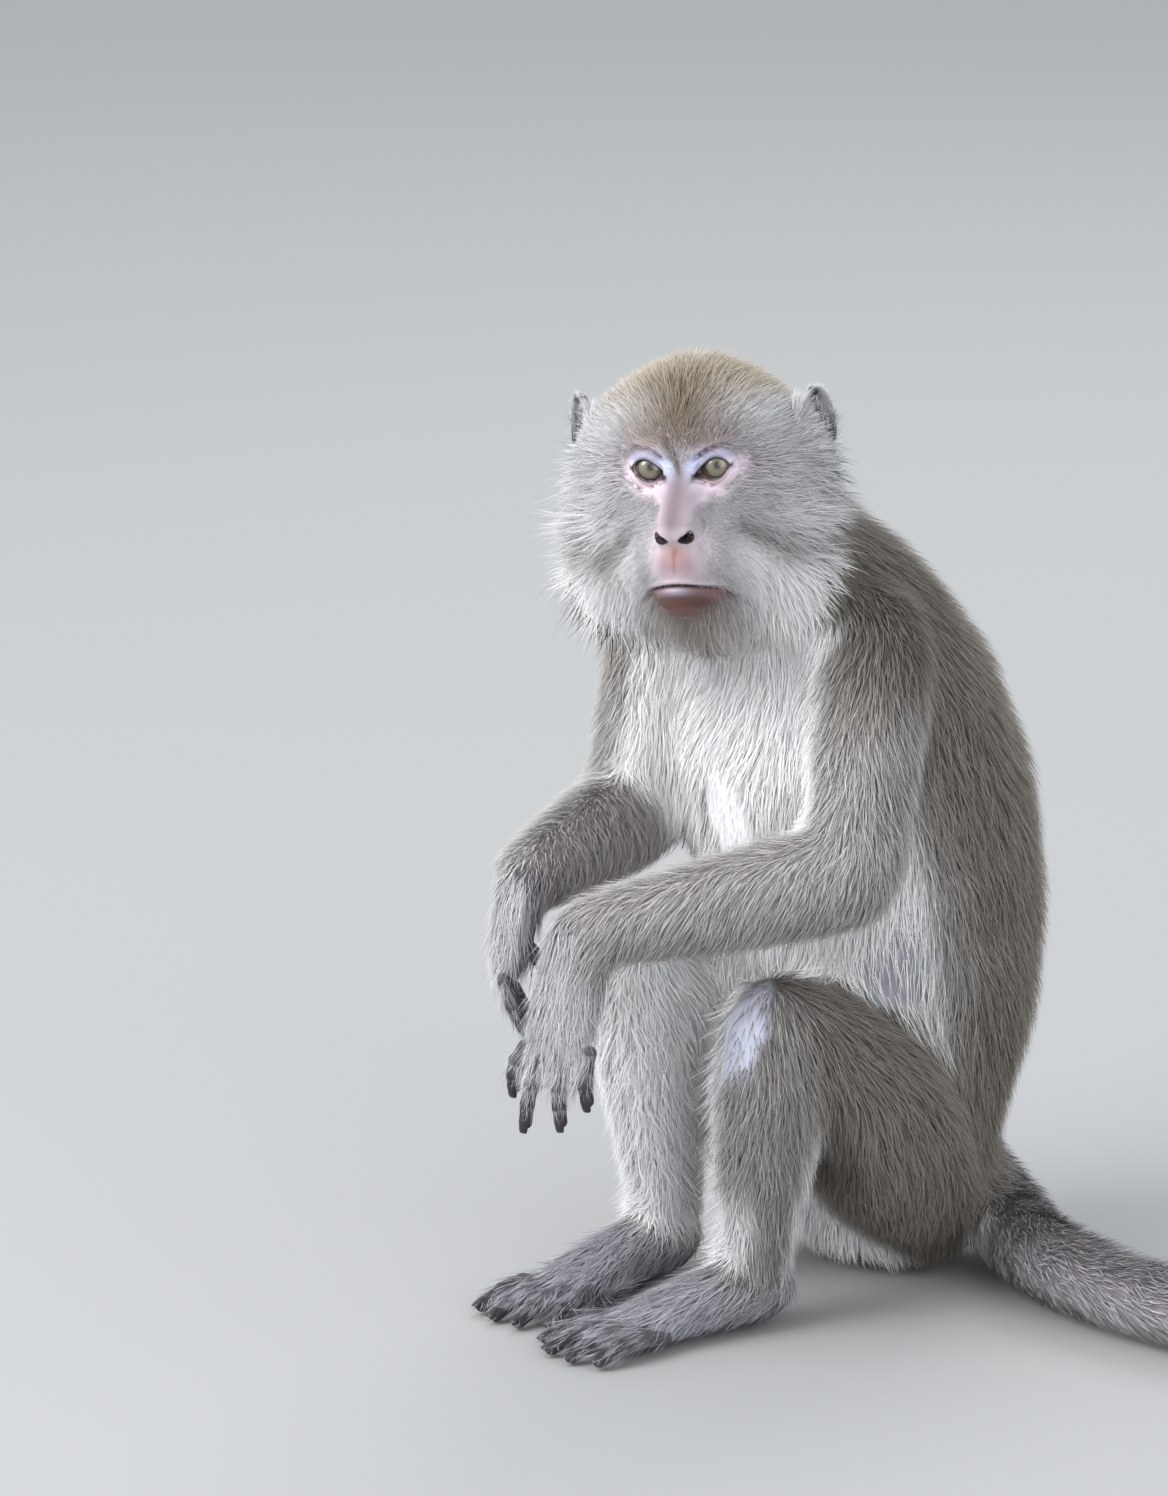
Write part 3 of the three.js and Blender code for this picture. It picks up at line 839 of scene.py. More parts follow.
def share_along(points, part):
    """0 at a part's root and 1 at its end, for points beside it."""
    centres, radii = SKELETON[part]
    axis = unit_axis(part)
    low = centres[0] @ axis
    high = centres[-1] @ axis + radii[-1]
    return (points @ axis - low) / (high - low)


HAIRY_DIGIT = {  # where along a digit the hair ends, and where it starts to thin
    "finger": (0.66, 0.35), "toe": (1.0, 0.8), "big_toe": (0.6, 0.35), "thumb": (0.6, 0.35),
}


def paw_hair():
    """How much hair hands, feet and digits bear, and how far along a digit each point is."""
    hair = np.ones(len(SKIN_POINTS))
    along = np.zeros(len(SKIN_POINTS))
    for i, part in enumerate(PARTS):
        kind = KINDS[i]
        if kind not in ("hand", "finger", "foot", "toe"):
            continue
        chosen = SKIN_SHARES[:, i] > 0.02
        facing = SKIN_NORMALS[chosen] @ PAW_BACKS[paw_of(part)]
        cover = step(-0.55, -0.15, facing)
        if kind in HAIRY_DIGIT:
            place = share_along(SKIN_POINTS[chosen], part)
            end, thin = HAIRY_DIGIT.get(part.rsplit("_", 1)[0], HAIRY_DIGIT[kind])
            cover = cover * step(end, thin, place)
            along[chosen] += SKIN_SHARES[chosen, i] * np.clip(place, 0, 1)
        hair[chosen] -= SKIN_SHARES[chosen, i] * (1 - cover)
    return np.clip(hair, 0, 1), along


PAW_HAIR, ALONG_DIGIT = paw_hair()


BARE_PATCHES = {  # the part, the patch's place from its first centre, its radii and its colour
    "knee": ("shank_left", (-6, -13, -3), (22, 18, 31), (200, 202, 220)),
    "flank": ("chest", (56, -27, -46), (18, 24, 26), (158, 159, 166)),
    "chest": ("chest", (-12, -78, 27), (22, 26, 31), (252, 253, 255)),
}


def patch_share(part, offset, radii, seed):
    """1 where long use has left the skin nearly bare, and 0 away from there."""
    place = SKELETON[part][0][0] + np.array(offset, float)
    reach = np.linalg.norm((SKIN_POINTS - place) / np.array(radii, float), axis=1)
    return step(1.35, 0.6, reach + 0.12 * ripple(SKIN_POINTS, 16, seed))


PATCH_SHARES = [
    patch_share(part, offset, radii, seed)
    for seed, (part, offset, radii, _) in enumerate(BARE_PATCHES.values())
]
WORN = np.max(PATCH_SHARES, axis=0)

# ---- Colours


def paint(colour, other, share):
    return colour + (other - colour) * np.clip(share, 0, 1)[:, None]


def paint_layers(colour, layers):
    """A colour for each point, with layers over it, each given by its colour and its share."""
    for tone, share in layers:
        colour = paint(colour, linear(*tone), share)
    return colour


def hair_colours(base, layers):
    """Colours near the hair's root and at its tip, each from a base and the layers over it."""
    hair = [np.tile(linear(*tone), (len(SKIN_POINTS), 1)) for tone in base]
    for share, strength, *tones in layers:
        hair = [paint(under, linear(*tone), k * share) for under, tone, k in zip(hair, tones, strength)]
    return hair


def ear_parts(q):
    """How much each point is on an ear, and how much it is on an ear's rim or back."""
    out, back, up = ear_place(q)
    share = ear_share(back, up)
    on_ear = step(1.5, 0.5, np.abs(ear_distance(q))) * step(0.15, 0.3, share) * (share < 1.2)
    behind = out > EAR["cup"] * share**2 + 1.9
    return on_ear, on_ear * np.maximum(step(0.72, 0.92, share), behind)


ON_EAR, EAR_RIM = ear_parts(SKIN_IN_HEAD)
FULL = (1, 1)  # how strongly a layer covers the hair near its root, and at its tip


def body_hair():
    """Colours of the hair of the trunk, limbs and tail, near its root and at its tip."""
    height = SKIN_POINTS[:, 2]
    shoulder = np.mean([SKELETON[f"upper_arm_{side}"][0][0][2] for side in SIDES])
    outer_arm = skin_share("forearm") + skin_share("upper_arm") * step(-8, -50, height - shoulder)
    shank = skin_share("shank")
    left_knee = (1 - ON_RIGHT) * step(0.72, 0.5, share_along(SKIN_POINTS, "shank_left"))
    shin = shank * step(0.15, 0.8, FRONT + 0.7 * MEDIAL) * (1 - 0.9 * left_knee * step(0.9, 0.5, MEDIAL))
    # The right shin is painted pale over more of its faces than the left, fading out towards the ankle:
    # painted light
    right_shin_painted_light = shank * ON_RIGHT * step(-0.4, 0.2, FRONT + 0.5 * MEDIAL)
    shin = np.maximum(shin, right_shin_painted_light * step(1.0, 0.65, share_along(SKIN_POINTS, "shank_right")))
    calf = shank * step(0.0, 0.5, -FRONT)
    mane = step(shoulder - 25, shoulder + 12, height) * skin_share("neck", "chest", "upper_arm")
    tail = skin_share("tail")
    pale = skin_share("chest", "abdomen", "neck") * step(0.2, 0.7, FRONT)
    pale = pale + skin_share("upper_arm", "thigh", "shank") * step(0.0, 0.5, MEDIAL)
    pale = pale + skin_share("neck", "chest") * step(0.0, 0.5, 0.7 * FRONT - 0.7 * TOP)
    pale = pale + tail * 0.4 * step(0.2, -0.9, TOP)
    inner_arm = skin_share("forearm") * step(0.0, 0.5, MEDIAL)
    layers = (
        (outer_arm, FULL, (138, 133, 130), (210, 207, 205)),
        (shank, FULL, (118, 112, 108), (192, 189, 186)),
        # the shin's pale hair, with painted light on the right shin
        (shin, FULL, (224, 221, 222), (254, 253, 255)),
        (calf, FULL, (194, 192, 194), (246, 245, 248)),
        (skin_share("hand", "finger"), FULL, (134, 130, 136), (252, 252, 255)),
        (skin_share("foot", "toe"), FULL, (70, 67, 73), (232, 232, 240)),
        (mane, (0.8, 0.8), (72, 66, 62), (138, 130, 122)),
        (tail, FULL, (132, 127, 130), (232, 227, 232)),
        (tail * step(0.1, 0.9, TOP), (0.8, 0.8), (88, 84, 86), (168, 163, 166)),
        (pale, FULL, (247, 245, 246), (255, 255, 255)),
        (inner_arm, FULL, (142, 134, 132), (206, 200, 200)),
    )
    return hair_colours(((92, 85, 79), (168, 160, 150)), layers)


def head_hair():
    """Colours of the hair of the head, near its root and at its tip."""
    x, y, z = SKIN_IN_HEAD.T
    side = np.abs(x)
    jowl = step(-20, -40, z) * step(16, 30, side)
    brow = bell(z - 15, 6) * step(34, 18, side) * step(20, 8, y)
    by_ear = bell(side - 45, 11) * bell(y - 38, 15) * bell(z, 22)
    uneven = 4 * ripple(SKIN_POINTS, 45, 3)
    crown = step(12, 36, z + 0.35 * y - 0.25 * side + uneven) * step(64, 28, side - 0.25 * y + uneven)
    crown = np.maximum(crown, step(62, 88, y) * step(-44, -16, z))
    blaze = step(8, 15, z) * bell(x / 15, 1) * step(34, 12, y)
    streak = bell((z + 28 + 0.3 * (side - 20) + uneven) / 5, 1) * step(17, 27, side) * step(75, 50, y)
    frown = bell(frown_line(x, z), 2.0) * step(-2, 3, z) * step(15, 9, z) * step(12, 6, y)
    beard = step(24, 8, side) * step(-52, -58, z) * step(20, 4, y)
    chin = bell(side, 15) * bell(z + 58, 7) * step(10, 0, y)
    fluff = 0.7 * FACE_BARE * (1 - chin)
    inside_ear = ON_EAR * (1 - 0.8 * step(0, -1, x))
    layers = (
        (jowl, FULL, (240, 238, 239), (255, 255, 255)),
        (brow, (0.8, 0.8), (126, 114, 110), (188, 177, 174)),
        (by_ear, (0.9, 0.85), (70, 66, 68), (140, 137, 139)),
        (crown, FULL, (118, 106, 94), (202, 191, 173)),
        (blaze, FULL, (92, 80, 70), (154, 141, 124)),
        (streak, (0.9, 0.8), (104, 98, 98), (170, 168, 170)),
        (frown, (0.9, 0.8), (60, 48, 42), (92, 76, 66)),
        (beard, (0.85, 0.75), (166, 153, 145), (224, 215, 208)),
        (chin, (0.95, 0.9), (84, 66, 58), (146, 124, 112)),
        (fluff, FULL, (178, 164, 168), (228, 217, 222)),
        (inside_ear, FULL, (62, 58, 60), (116, 112, 115)),
        (EAR_RIM, FULL, (170, 168, 170), (240, 240, 243)),
    )
    return hair_colours(((140, 136, 138), (228, 228, 233)), layers)


HAIR_UNDER, HAIR_TIP = (mix(*pair, HEAD_SHARE[:, None]) for pair in zip(body_hair(), head_hair()))


def face_colour(q, colour):
    """Colour of the naked face, laid over the given colour."""
    x, y, z = q.T
    side = np.abs(x)
    across, up = lid_place(q)
    aside = np.abs(across)
    _, lower = lid_edges(across)
    outside = outside_opening(q)
    front = step(16, 6, y)
    level = z - 0.07 * across
    lid = bell(level - 6.6, 3.6) * step(14, 9, np.abs(across - 1)) * step(0.2, 0.8, outside) * front
    inner = bell(np.hypot((across + 9.5) / 4.5, (z - 3.5) / 5), 1) * front
    # fold: a painted shade line along the crease above the upper lid
    fold = bell(up - lid_arch(across) - 4.8, 0.9) * step(12, 8, np.abs(across - 2)) * front
    above = bell(level - 14, 3.0) * step(17, 10, aside) * front
    under_eye = bell(up - lower + 4.2, 2.2) * step(12, 7, aside) * front
    upper_half = step(-1.0, 1.0, up + 0.3 * across)
    rim = bell(outside - 0.1, 0.8 + 0.3 * upper_half) * front
    below = bell(up - lower + 1.7, 0.45) * step(9, 6, aside) * front
    corner = bell(np.hypot(across + 8.4, up + 0.4), 1.6) * front
    frown = bell(frown_line(x, z), 1.3) * step(-3, 3, z) * step(22, 15, z)
    line = z - mouth_line(x)
    lips = step(MOUTH_HALF + 2, MOUTH_HALF - 2, side) * step(16, 8, y)
    nostril = nostril_distance(on_left(q).astype(np.float32))
    layers = (
        ((222, 209, 218), np.maximum(FACE_BARE, 0.8 * bell(side, 30) * front)),
        ((84, 68, 74), 0.84 * bell(x, 9) * step(7, 0, z) * step(-30, -16, z)),  # ridge of the nose
        ((132, 108, 114), 0.9 * step(16, 5, side) * bell(z + 37, 9) * front),  # upper lip
        ((148, 106, 94), 0.8 * bell(x, 5.0) * bell(z + 31.5, 4.0) * front),  # between the nostrils
        ((140, 140, 162), 0.9 * lid),
        ((184, 192, 222), 0.85 * inner),
        # painted shade along the crease above the upper lid
        ((124, 104, 104), 0.3 * fold),
        ((150, 126, 118), 0.75 * above),
        ((200, 180, 190), 0.5 * under_eye),
        ((48, 34, 32), 0.97 * rim * upper_half),
        ((70, 50, 48), 0.9 * rim * (1 - upper_half)),
        ((176, 140, 140), 0.6 * below),
        ((42, 28, 28), 0.9 * corner),
        ((70, 54, 46), 0.85 * frown * front),
        ((112, 82, 80), 0.95 * step(-22, -16, line) * step(0.5, -0.5, line) * lips),  # under the mouth
        # a pale lilac spot just right of the middle of the lower lip: a painted highlight
        ((212, 200, 218), 0.9 * bell(line + 3.2, 2.6) * bell(x + 2, 6.5)),  # middle of the lower lip
        ((80, 56, 50), 0.9 * bell(line + 9.0, 4.5) * step(16, 9, side) * front),  # chin
        ((52, 38, 40), 0.95 * bell(line, 1.0) * lips),  # between the lips
        ((140, 100, 94), 0.45 * bell(x, 1.1) * step(-28, -31, z) * step(-44, -38, z)),  # philtrum
        # near-black inside the nostrils: painted shade in the holes
        ((22, 12, 12), 0.98 * step(1.2, 0.5, nostril)),
    )
    return paint_layers(colour, layers)


def skin_colour():
    layers = [
        ((78, 74, 79), skin_share("hand", "foot", "finger", "toe")),
        ((58, 54, 58), step(0.3, 0.65, ALONG_DIGIT)),
        ((58, 54, 57), skin_share("ear")),
    ]
    layers += [(tone, share) for share, (*_, tone) in zip(PATCH_SHARES, BARE_PATCHES.values())]
    colour = paint_layers(0.85 * HAIR_UNDER, layers)
    return paint(colour, face_colour(SKIN_IN_HEAD, colour), step(0.4, 0.8, HEAD_SHARE))


TINT = "Tint"


def set_tint(mesh, colours):
    """Gives each point of a mesh its own colour."""
    layer = mesh.color_attributes.new(TINT, "FLOAT_COLOR", "POINT")
    data = np.ones((len(colours), 4), np.float32)
    data[:, :3] = colours
    layer.data.foreach_set("color", data.ravel())


set_tint(SKIN_MESH, skin_colour())

# ---- Materials


def new_material(name, **sockets):
    """A material with the given constant values on its shader's sockets."""
    material = bpy.data.materials.new(name)
    material.use_nodes = True
    shader = material.node_tree.nodes["Principled BSDF"]
    for socket, value in sockets.items():
        shader.inputs[socket.replace("_", " ")].default_value = value
    return material


def tinted_material(name, **sockets):
    """The same, but coloured by the mesh's own tint."""
    material = new_material(name, **sockets)
    tree = material.node_tree
    tint = tree.nodes.new("ShaderNodeVertexColor")
    tint.layer_name = TINT
    tree.links.new(tint.outputs["Color"], tree.nodes["Principled BSDF"].inputs["Base Color"])
    return material


def add_skin():
    material = tinted_material(
        "skin",
        Roughness=0.68,
        Specular_IOR_Level=0.18,
        Subsurface_Weight=0.12,
        Subsurface_Radius=(1.0, 0.35, 0.2),
        Subsurface_Scale=0.002,
    )
    piece = add_piece("skin", SKIN_MESH, material)
    flesh = [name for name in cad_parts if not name.startswith("eye_")]
    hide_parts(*flesh)


add_skin()

# ---- Eyes

GAZE = heading(math.radians(50), math.radians(14))  # to its left and up, at the viewer
FORWARD_SHARE = 0.08  # how far the eyes keep to the way that the face points
IRIS_RADIUS = 6.3
PUPIL_RADIUS = 1.6
CORNEA = 0.55  # how far the clear front bulges
EYE_RINGS = 48
EYE_SPOKES = 64


def grid_faces(rows, columns):
    """Squares of a grid of points whose columns close into rings."""
    i, j = np.meshgrid(np.arange(rows - 1), np.arange(columns), indexing="ij")
    a = i * columns + j
    b = i * columns + (j + 1) % columns
    return np.stack([a, b, b + columns, a + columns], -1).reshape(-1, 4)


def eye_colour(from_axis, round_axis):
    """Colour of the eyeball by distance from the axis of sight and angle round it."""
    ray = np.sin(41 * round_axis) * 0.3 + np.sin(67 * round_axis + 1) * 0.3 + np.sin(23 * round_axis) * 0.4
    inner = step(PUPIL_RADIUS, PUPIL_RADIUS + 1.6, from_axis)
    iris = paint(np.tile(linear(90, 76, 54), (len(ray), 1)), linear(106, 102, 86), inner)
    iris = iris * (1 + 0.16 * ray * bell(from_axis - 3.6, 2))[:, None]
    iris = paint(iris, linear(38, 34, 32), 0.92 * step(IRIS_RADIUS - 1.5, IRIS_RADIUS - 0.1, from_axis))
    colour = paint(iris, linear(96, 72, 62), step(IRIS_RADIUS - 0.2, IRIS_RADIUS + 0.5, from_axis))
    return paint(colour, linear(8, 8, 10), step(PUPIL_RADIUS + 0.15, PUPIL_RADIUS - 0.15, from_axis))


def add_eye(side, material):
    centre = box_centre(f"eye_{side}")
    forward = unit(GAZE - FORWARD_SHARE * HEAD_AXES[1])
    right = unit(np.cross(forward, HEAD_AXES[2]))
    up = np.cross(right, forward)
    angle = math.pi * (np.linspace(0.002, 0.998, EYE_RINGS) ** 1.25)
    turn = 2 * math.pi * np.arange(EYE_SPOKES) / EYE_SPOKES
    angle, turn = (part.ravel() for part in np.meshgrid(angle, turn, indexing="ij"))
    from_axis = EYE_RADIUS * np.sin(angle)
    from_axis = np.where(angle > math.pi / 2, 2 * EYE_RADIUS - from_axis, from_axis)
    radius = (EYE_RADIUS - 0.2) + CORNEA * step(IRIS_RADIUS + 0.4, IRIS_RADIUS - 3, from_axis)
    across = (radius * np.sin(angle))[:, None]
    points = centre + across * (np.cos(turn)[:, None] * right + np.sin(turn)[:, None] * up)
    points = points + (radius * np.cos(angle))[:, None] * forward
    mesh = mesh_from(f"eyeball_{side}", points, grid_faces(EYE_RINGS, EYE_SPOKES)[:, ::-1])
    set_tint(mesh, eye_colour(from_axis, turn))
    ball = add_piece(f"eyeball_{side}", mesh, material)
    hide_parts(f"eye_{side}")


def add_eyes():
    wet = {"Coat_Weight": 1.0, "Coat_Roughness": 0.02}
    material = tinted_material("eye", Roughness=0.3, Specular_IOR_Level=0.5, **wet)
    for side in SIDES:
        add_eye(side, material)


add_eyes()

# ---- Nails

NAIL_ROWS = 9
NAIL_COLUMNS = 16
NAIL_HALF_WIDTH = 0.72  # as a share of the radius of the digit's end, like the next three
NAIL_LENGTH = 1.9
NAIL_ROOT = -0.75
NAIL_DROP = 0.35
NAIL_HALF_THICKNESS = 0.28
NAIL_PAST_END = 1.2


def nail_points(part):
    """Rings of points round a nail, from its root to its free edge."""
    centres, radii = SKELETON[part]
    along = unit(centres[-1] - centres[-2])
    back = PAW_BACKS[paw_of(part)]
    if part.startswith(("thumb", "big_toe")):
        paw, side = paw_of(part)
        first = SKELETON[f"{(FINGERS if paw == 'hand' else TOES)[1]}_{side}"][0][0]
        back = unit(back + 0.6 * unit(centres[0] - first))
    back = unit(back - along * (back @ along))
    across = np.cross(along, back)
    size = radii[-1] * DIGIT_FLESH
    t = np.linspace(0, 1, NAIL_ROWS)[:, None]
    turn = 2 * math.pi * np.arange(NAIL_COLUMNS) / NAIL_COLUMNS
    half = NAIL_HALF_WIDTH * size * np.sqrt(np.clip(1 - (1 - t) ** 4, 0.02, 1)) * (1 - 0.3 * t**6)
    u = np.cos(turn) * half
    thick = NAIL_HALF_THICKNESS * np.clip(1.05 - (2 * t - 1) ** 6, 0.1, 1)
    curve = size * np.sqrt(np.clip(1 - (u / size) ** 2, 0, 1))
    height = curve - NAIL_DROP * size * t**2.2 + np.sin(turn) * thick + 0.1
    root = centres[-1] + along * (NAIL_ROOT * size)
    reach = t * (NAIL_LENGTH * size + NAIL_PAST_END)
    points = root + reach[..., None] * along + u[..., None] * across + height[..., None] * back
    return points.reshape(-1, 3)


def add_nails():
    rings = [nail_points(part) for part in DIGITS]
    faces = grid_faces(NAIL_ROWS, NAIL_COLUMNS)
    every = np.concatenate([faces + i * NAIL_ROWS * NAIL_COLUMNS for i in range(len(rings))])
    mesh = mesh_from("nails", np.concatenate(rings), every)
    work = bmesh.new()
    work.from_mesh(mesh)
    bmesh.ops.holes_fill(work, edges=work.edges, sides=0)
    bmesh.ops.recalc_face_normals(work, faces=work.faces)
    work.to_mesh(mesh)
    work.free()
    horn = new_material("nail", Base_Color=(*linear(44, 39, 40), 1), Roughness=0.35)
    add_piece("nails", mesh, horn)


add_nails()

# ---- The lie of the coat

DOWN = np.array([0.0, 0.0, -1.0])
BODY_LIE = {  # how far the hair follows the part outward from the body, and how far it hangs down
    "head": (0, 0), "ear": (1, 0), "neck": (0, 1), "chest": (0, 1), "abdomen": (0, 1),
    "tail": (1, 0.1), "upper_arm": (0.8, 0.6), "forearm": (0.45, 0.9), "hand": (1, 0.1),
    "finger": (1, 0), "thigh": (-0.35, 0.9), "shank": (0.6, 0.7), "foot": (1, 0.3), "toe": (1, 0.3),
}
HEAD_LIE = (  # a place on the left of the head, and which way the hair runs there
    ((0, 45, 62), (0, 1, 0.15)),
    ((0, 14, 40), (0.1, 0.8, 1)),
    ((14, 4, 14), (0.5, 0.3, 1)),
    ((0, 2, 16), (0, 0.1, 1)),
    ((34, 20, 14), (1, 0.6, 0.5)),
    ((42, 45, 45), (0.6, 1, 0.1)),
    ((14, 2, -14), (0.7, 0.4, -1)),
    ((27, 8, -18), (1, 0.5, -0.6)),
    ((45, 30, -15), (1, 0.8, -0.3)),
    ((42, 30, -45), (1, 0.8, -0.6)),
    ((20, 2, -36), (1, 0.8, -0.3)),
    ((6, -12, -28), (0.6, 0.6, 0.3)),
    ((8, -4, -58), (0.25, 0.2, -1)),
    ((28, 14, -62), (0.7, 0.5, -1)),
    ((0, 30, -76), (0, -0.2, -1)),
    ((0, 95, 20), (0, 0.4, -1)),
    ((35, 80, -10), (0.4, 0.6, -1)),
)


def head_lie(q):
    places, ways = np.array(HEAD_LIE, float).swapaxes(0, 1)
    weight = (np.linalg.norm(on_left(q)[:, None] - places, axis=2) + 6) ** -3.0
    way = weight @ unit(ways)
    way[:, 0] *= np.where(q[:, 0] < 0, -1, 1)
    return unit(way) @ HEAD_AXES


def neighbour_sum(column, a, b):
    count = len(column)
    return np.bincount(a, column[b], minlength=count) + np.bincount(b, column[a], minlength=count)


def spread_over(edges, values, rounds):
    """Values averaged with their neighbours' along the mesh's edges, again and again."""
    a, b = edges.T
    degree = np.bincount(edges.ravel(), minlength=len(values))[:, None]
    for _ in range(rounds):
        total = np.stack([neighbour_sum(column, a, b) for column in values.T], 1)
        values = 0.4 * values + 0.6 * total / degree
    return values


def across_skin(vectors):
    """The part of each vector that lies in the skin's surface."""
    return vectors - SKIN_NORMALS * (vectors * SKIN_NORMALS).sum(1, keepdims=True)


def lie_of_coat():
    lie = skin_share("head")[:, None] * head_lie(SKIN_IN_HEAD)
    for i, part in enumerate(PARTS):
        along, hanging = BODY_LIE[KINDS[i]]
        way = along * unit_axis(part) + hanging * DOWN
        lie = lie + SKIN_SHARES[:, i : i + 1] * way
    edges = read_all(SKIN_MESH.edges, "vertices", 2, np.int32)
    return unit(across_skin(spread_over(edges, across_skin(lie), 24)))


SKIN_LIE = lie_of_coat()

# ---- How long and how close the hair is

TUFT_DENSITY = {  # how many tufts an area gets, next to the chest's
    "head": 2.2, "ear": 2.0, "neck": 1.3, "chest": 1, "abdomen": 0.9, "tail": 0.8, "upper_arm": 1.1,
    "forearm": 1.3, "hand": 1.8, "finger": 1.6, "thigh": 1.0, "shank": 1.3, "foot": 1.4, "toe": 1.4,
}


def tuft_density():
    density = SKIN_SHARES @ np.array([TUFT_DENSITY[kind] for kind in KINDS])
    x, y, z = SKIN_IN_HEAD.T
    mask = HEAD_COAT * step(34, 16, y) * step(30, 12, z) * step(-66, -54, z)
    density = density * (1 + 1.8 * mask)
    naked = (np.hypot(np.abs(x) - EYE_X, z) < 9.5) | (z < -34) | (np.abs(x) < 8)
    thinned = np.where(naked, 1, 0.965)
    density = density * (1 - 0.8 * ON_EAR) * (1 + 5 * EAR_RIM)
    return density * (1 - thinned * FACE_BARE) * PAW_HAIR * (1 - 0.93 * WORN)


def hair_length():
    """Length of the hair next to what the coat's depth gives."""
    x, y, z = SKIN_IN_HEAD.T
    side = np.abs(x)
    short = HEAD_COAT * step(30, 8, y) * step(40, 22, side) * step(30, 14, z)
    length = (1 - 0.45 * short) * (1 - 0.55 * FACE_BARE)
    by_ear = HEAD_SHARE * bell(side - 44, 10) * bell(y - 38, 14) * bell(z + 2, 22)
    length = length * (1 - 0.65 * by_ear) * (1 + 0.3 * EAR_RIM)
    length = length * (1 + 1.4 * skin_share("hand", "foot") + 0.9 * skin_share("finger"))
    length = length * (1 + 2.1 * skin_share("toe"))
    calf = skin_share("shank") * step(0.0, 0.6, -FRONT)
    return length * (1 + 0.35 * calf)


def loose_share():
    """How much the tips of the hair stand out from the coat in locks."""
    x, y, z = SKIN_IN_HEAD.T
    side = np.abs(x)
    whiskers = HEAD_COAT * step(22, 36, side + 0.3 * np.abs(y - 20)) * step(20, -24, z)
    crest = HEAD_COAT * step(24, 34, z) * step(16, 6, side)
    paws = skin_share("hand", "foot", "finger", "toe")
    shin = skin_share("shank") * step(0.3, 0.8, 0.8 * MEDIAL + 0.7 * FRONT)
    return np.maximum(1.2 * whiskers, 0.35 * crest) + 0.06 + 0.45 * paws + 0.9 * shin + 0.2 * EAR_RIM


SKIN_DENSITY = tuft_density()
SKIN_LENGTH = hair_length()
SKIN_LOOSE = loose_share()

# ---- The coat's tufts

BENT_TUFTS = 52000
STRAIGHT_TUFTS = 225000
REGIONS = {
    "head": ("head", "ear", "neck"),
    "trunk": ("chest", "abdomen"),
    "arms": ("upper_arm", "forearm", "hand", "finger"),
    "legs": ("thigh", "shank", "foot", "toe"),
    "tail": ("tail",),
}
PIECE_TRIANGLES = 190000


def tuft_roots(random, count, density):
    """Evenly spread places on the skin: three corners of the skin and their shares, for each."""
    corners = mesh_triangles(SKIN_MESH)
    a, b, c = SKIN_POINTS[corners].swapaxes(0, 1)
    area = np.linalg.norm(np.cross(b - a, c - a), axis=1) / 2
    heaped = np.cumsum(area * density[corners].mean(1))
    steps = (np.arange(count) + random.random(count)) / count * heaped[-1]
    chosen = corners[np.searchsorted(heaped, steps)]
    u = np.sqrt(random.random(count))
    v = random.random(count)
    return chosen, np.stack([1 - u, u * (1 - v), u * v], 1)


def blend_at(values, corners, weights):
    if values.ndim == 1:
        return (values[corners] * weights).sum(1)
    return np.einsum("ijk,ij->ik", values[corners], weights)


def move_to_depth(points, depth, most, rounds=2):
    """Moves points along the coat's slope until they lie that deep under the coat's outline."""
    for _ in range(rounds):
        away = np.clip(COAT.sample(points) + depth, -most, most)
        points = points - COAT.outward(points) * away[:, None]
    return points


LEAST_DEPTH = 1.3  # how far the coat stands off the skin where it is thinnest
MOST_DEPTH = 24.0
SHORTEST = 3.2  # length on bare skin, and how much longer a tuft gets with the coat's depth
LONGER_WITH_DEPTH = 1.45
MOST_LENGTH = 30.0
FINEST = 0.15  # a tuft's least width, and how much wider it gets with its length
WIDER_WITH_LENGTH = 0.021
BEND_ALONG = 0.45  # share of the length at which a tuft bends
TIP_ALONG = 0.97
BEND_RISE = 0.62  # how far the bend has come up through the coat, next to the tip
TIP_OFF_FLOOR = 0.4
BEND_OFF_FLOOR = 0.6
OWN_SIZE = (0.75, 1.2)  # range of a tuft's length and width, next to its neighbours'
LOCK_REACH = 11.0  # how far the loosest tips stand out of the coat


def tuft_colours(random, root, under, pale):
    """Colours of each tuft at its root, its middle and its tip."""
    light = pale.mean(1)
    shade = random.uniform(0.66, 1.2, len(root)) * (1 + 0.12 * ripple(root, 7, 6))
    shade = mix(shade, 1, 0.5 * step(0.7, 0.95, light))[:, None]
    tip = mix(under, pale, random.uniform(0.25, 1.0, (len(root), 1)))
    root_shade = mix(0.7, 1, step(0.4, 0.85, light))[:, None]
    return np.stack([under * root_shade * shade, mix(under, pale, 0.4) * shade, tip], 1)


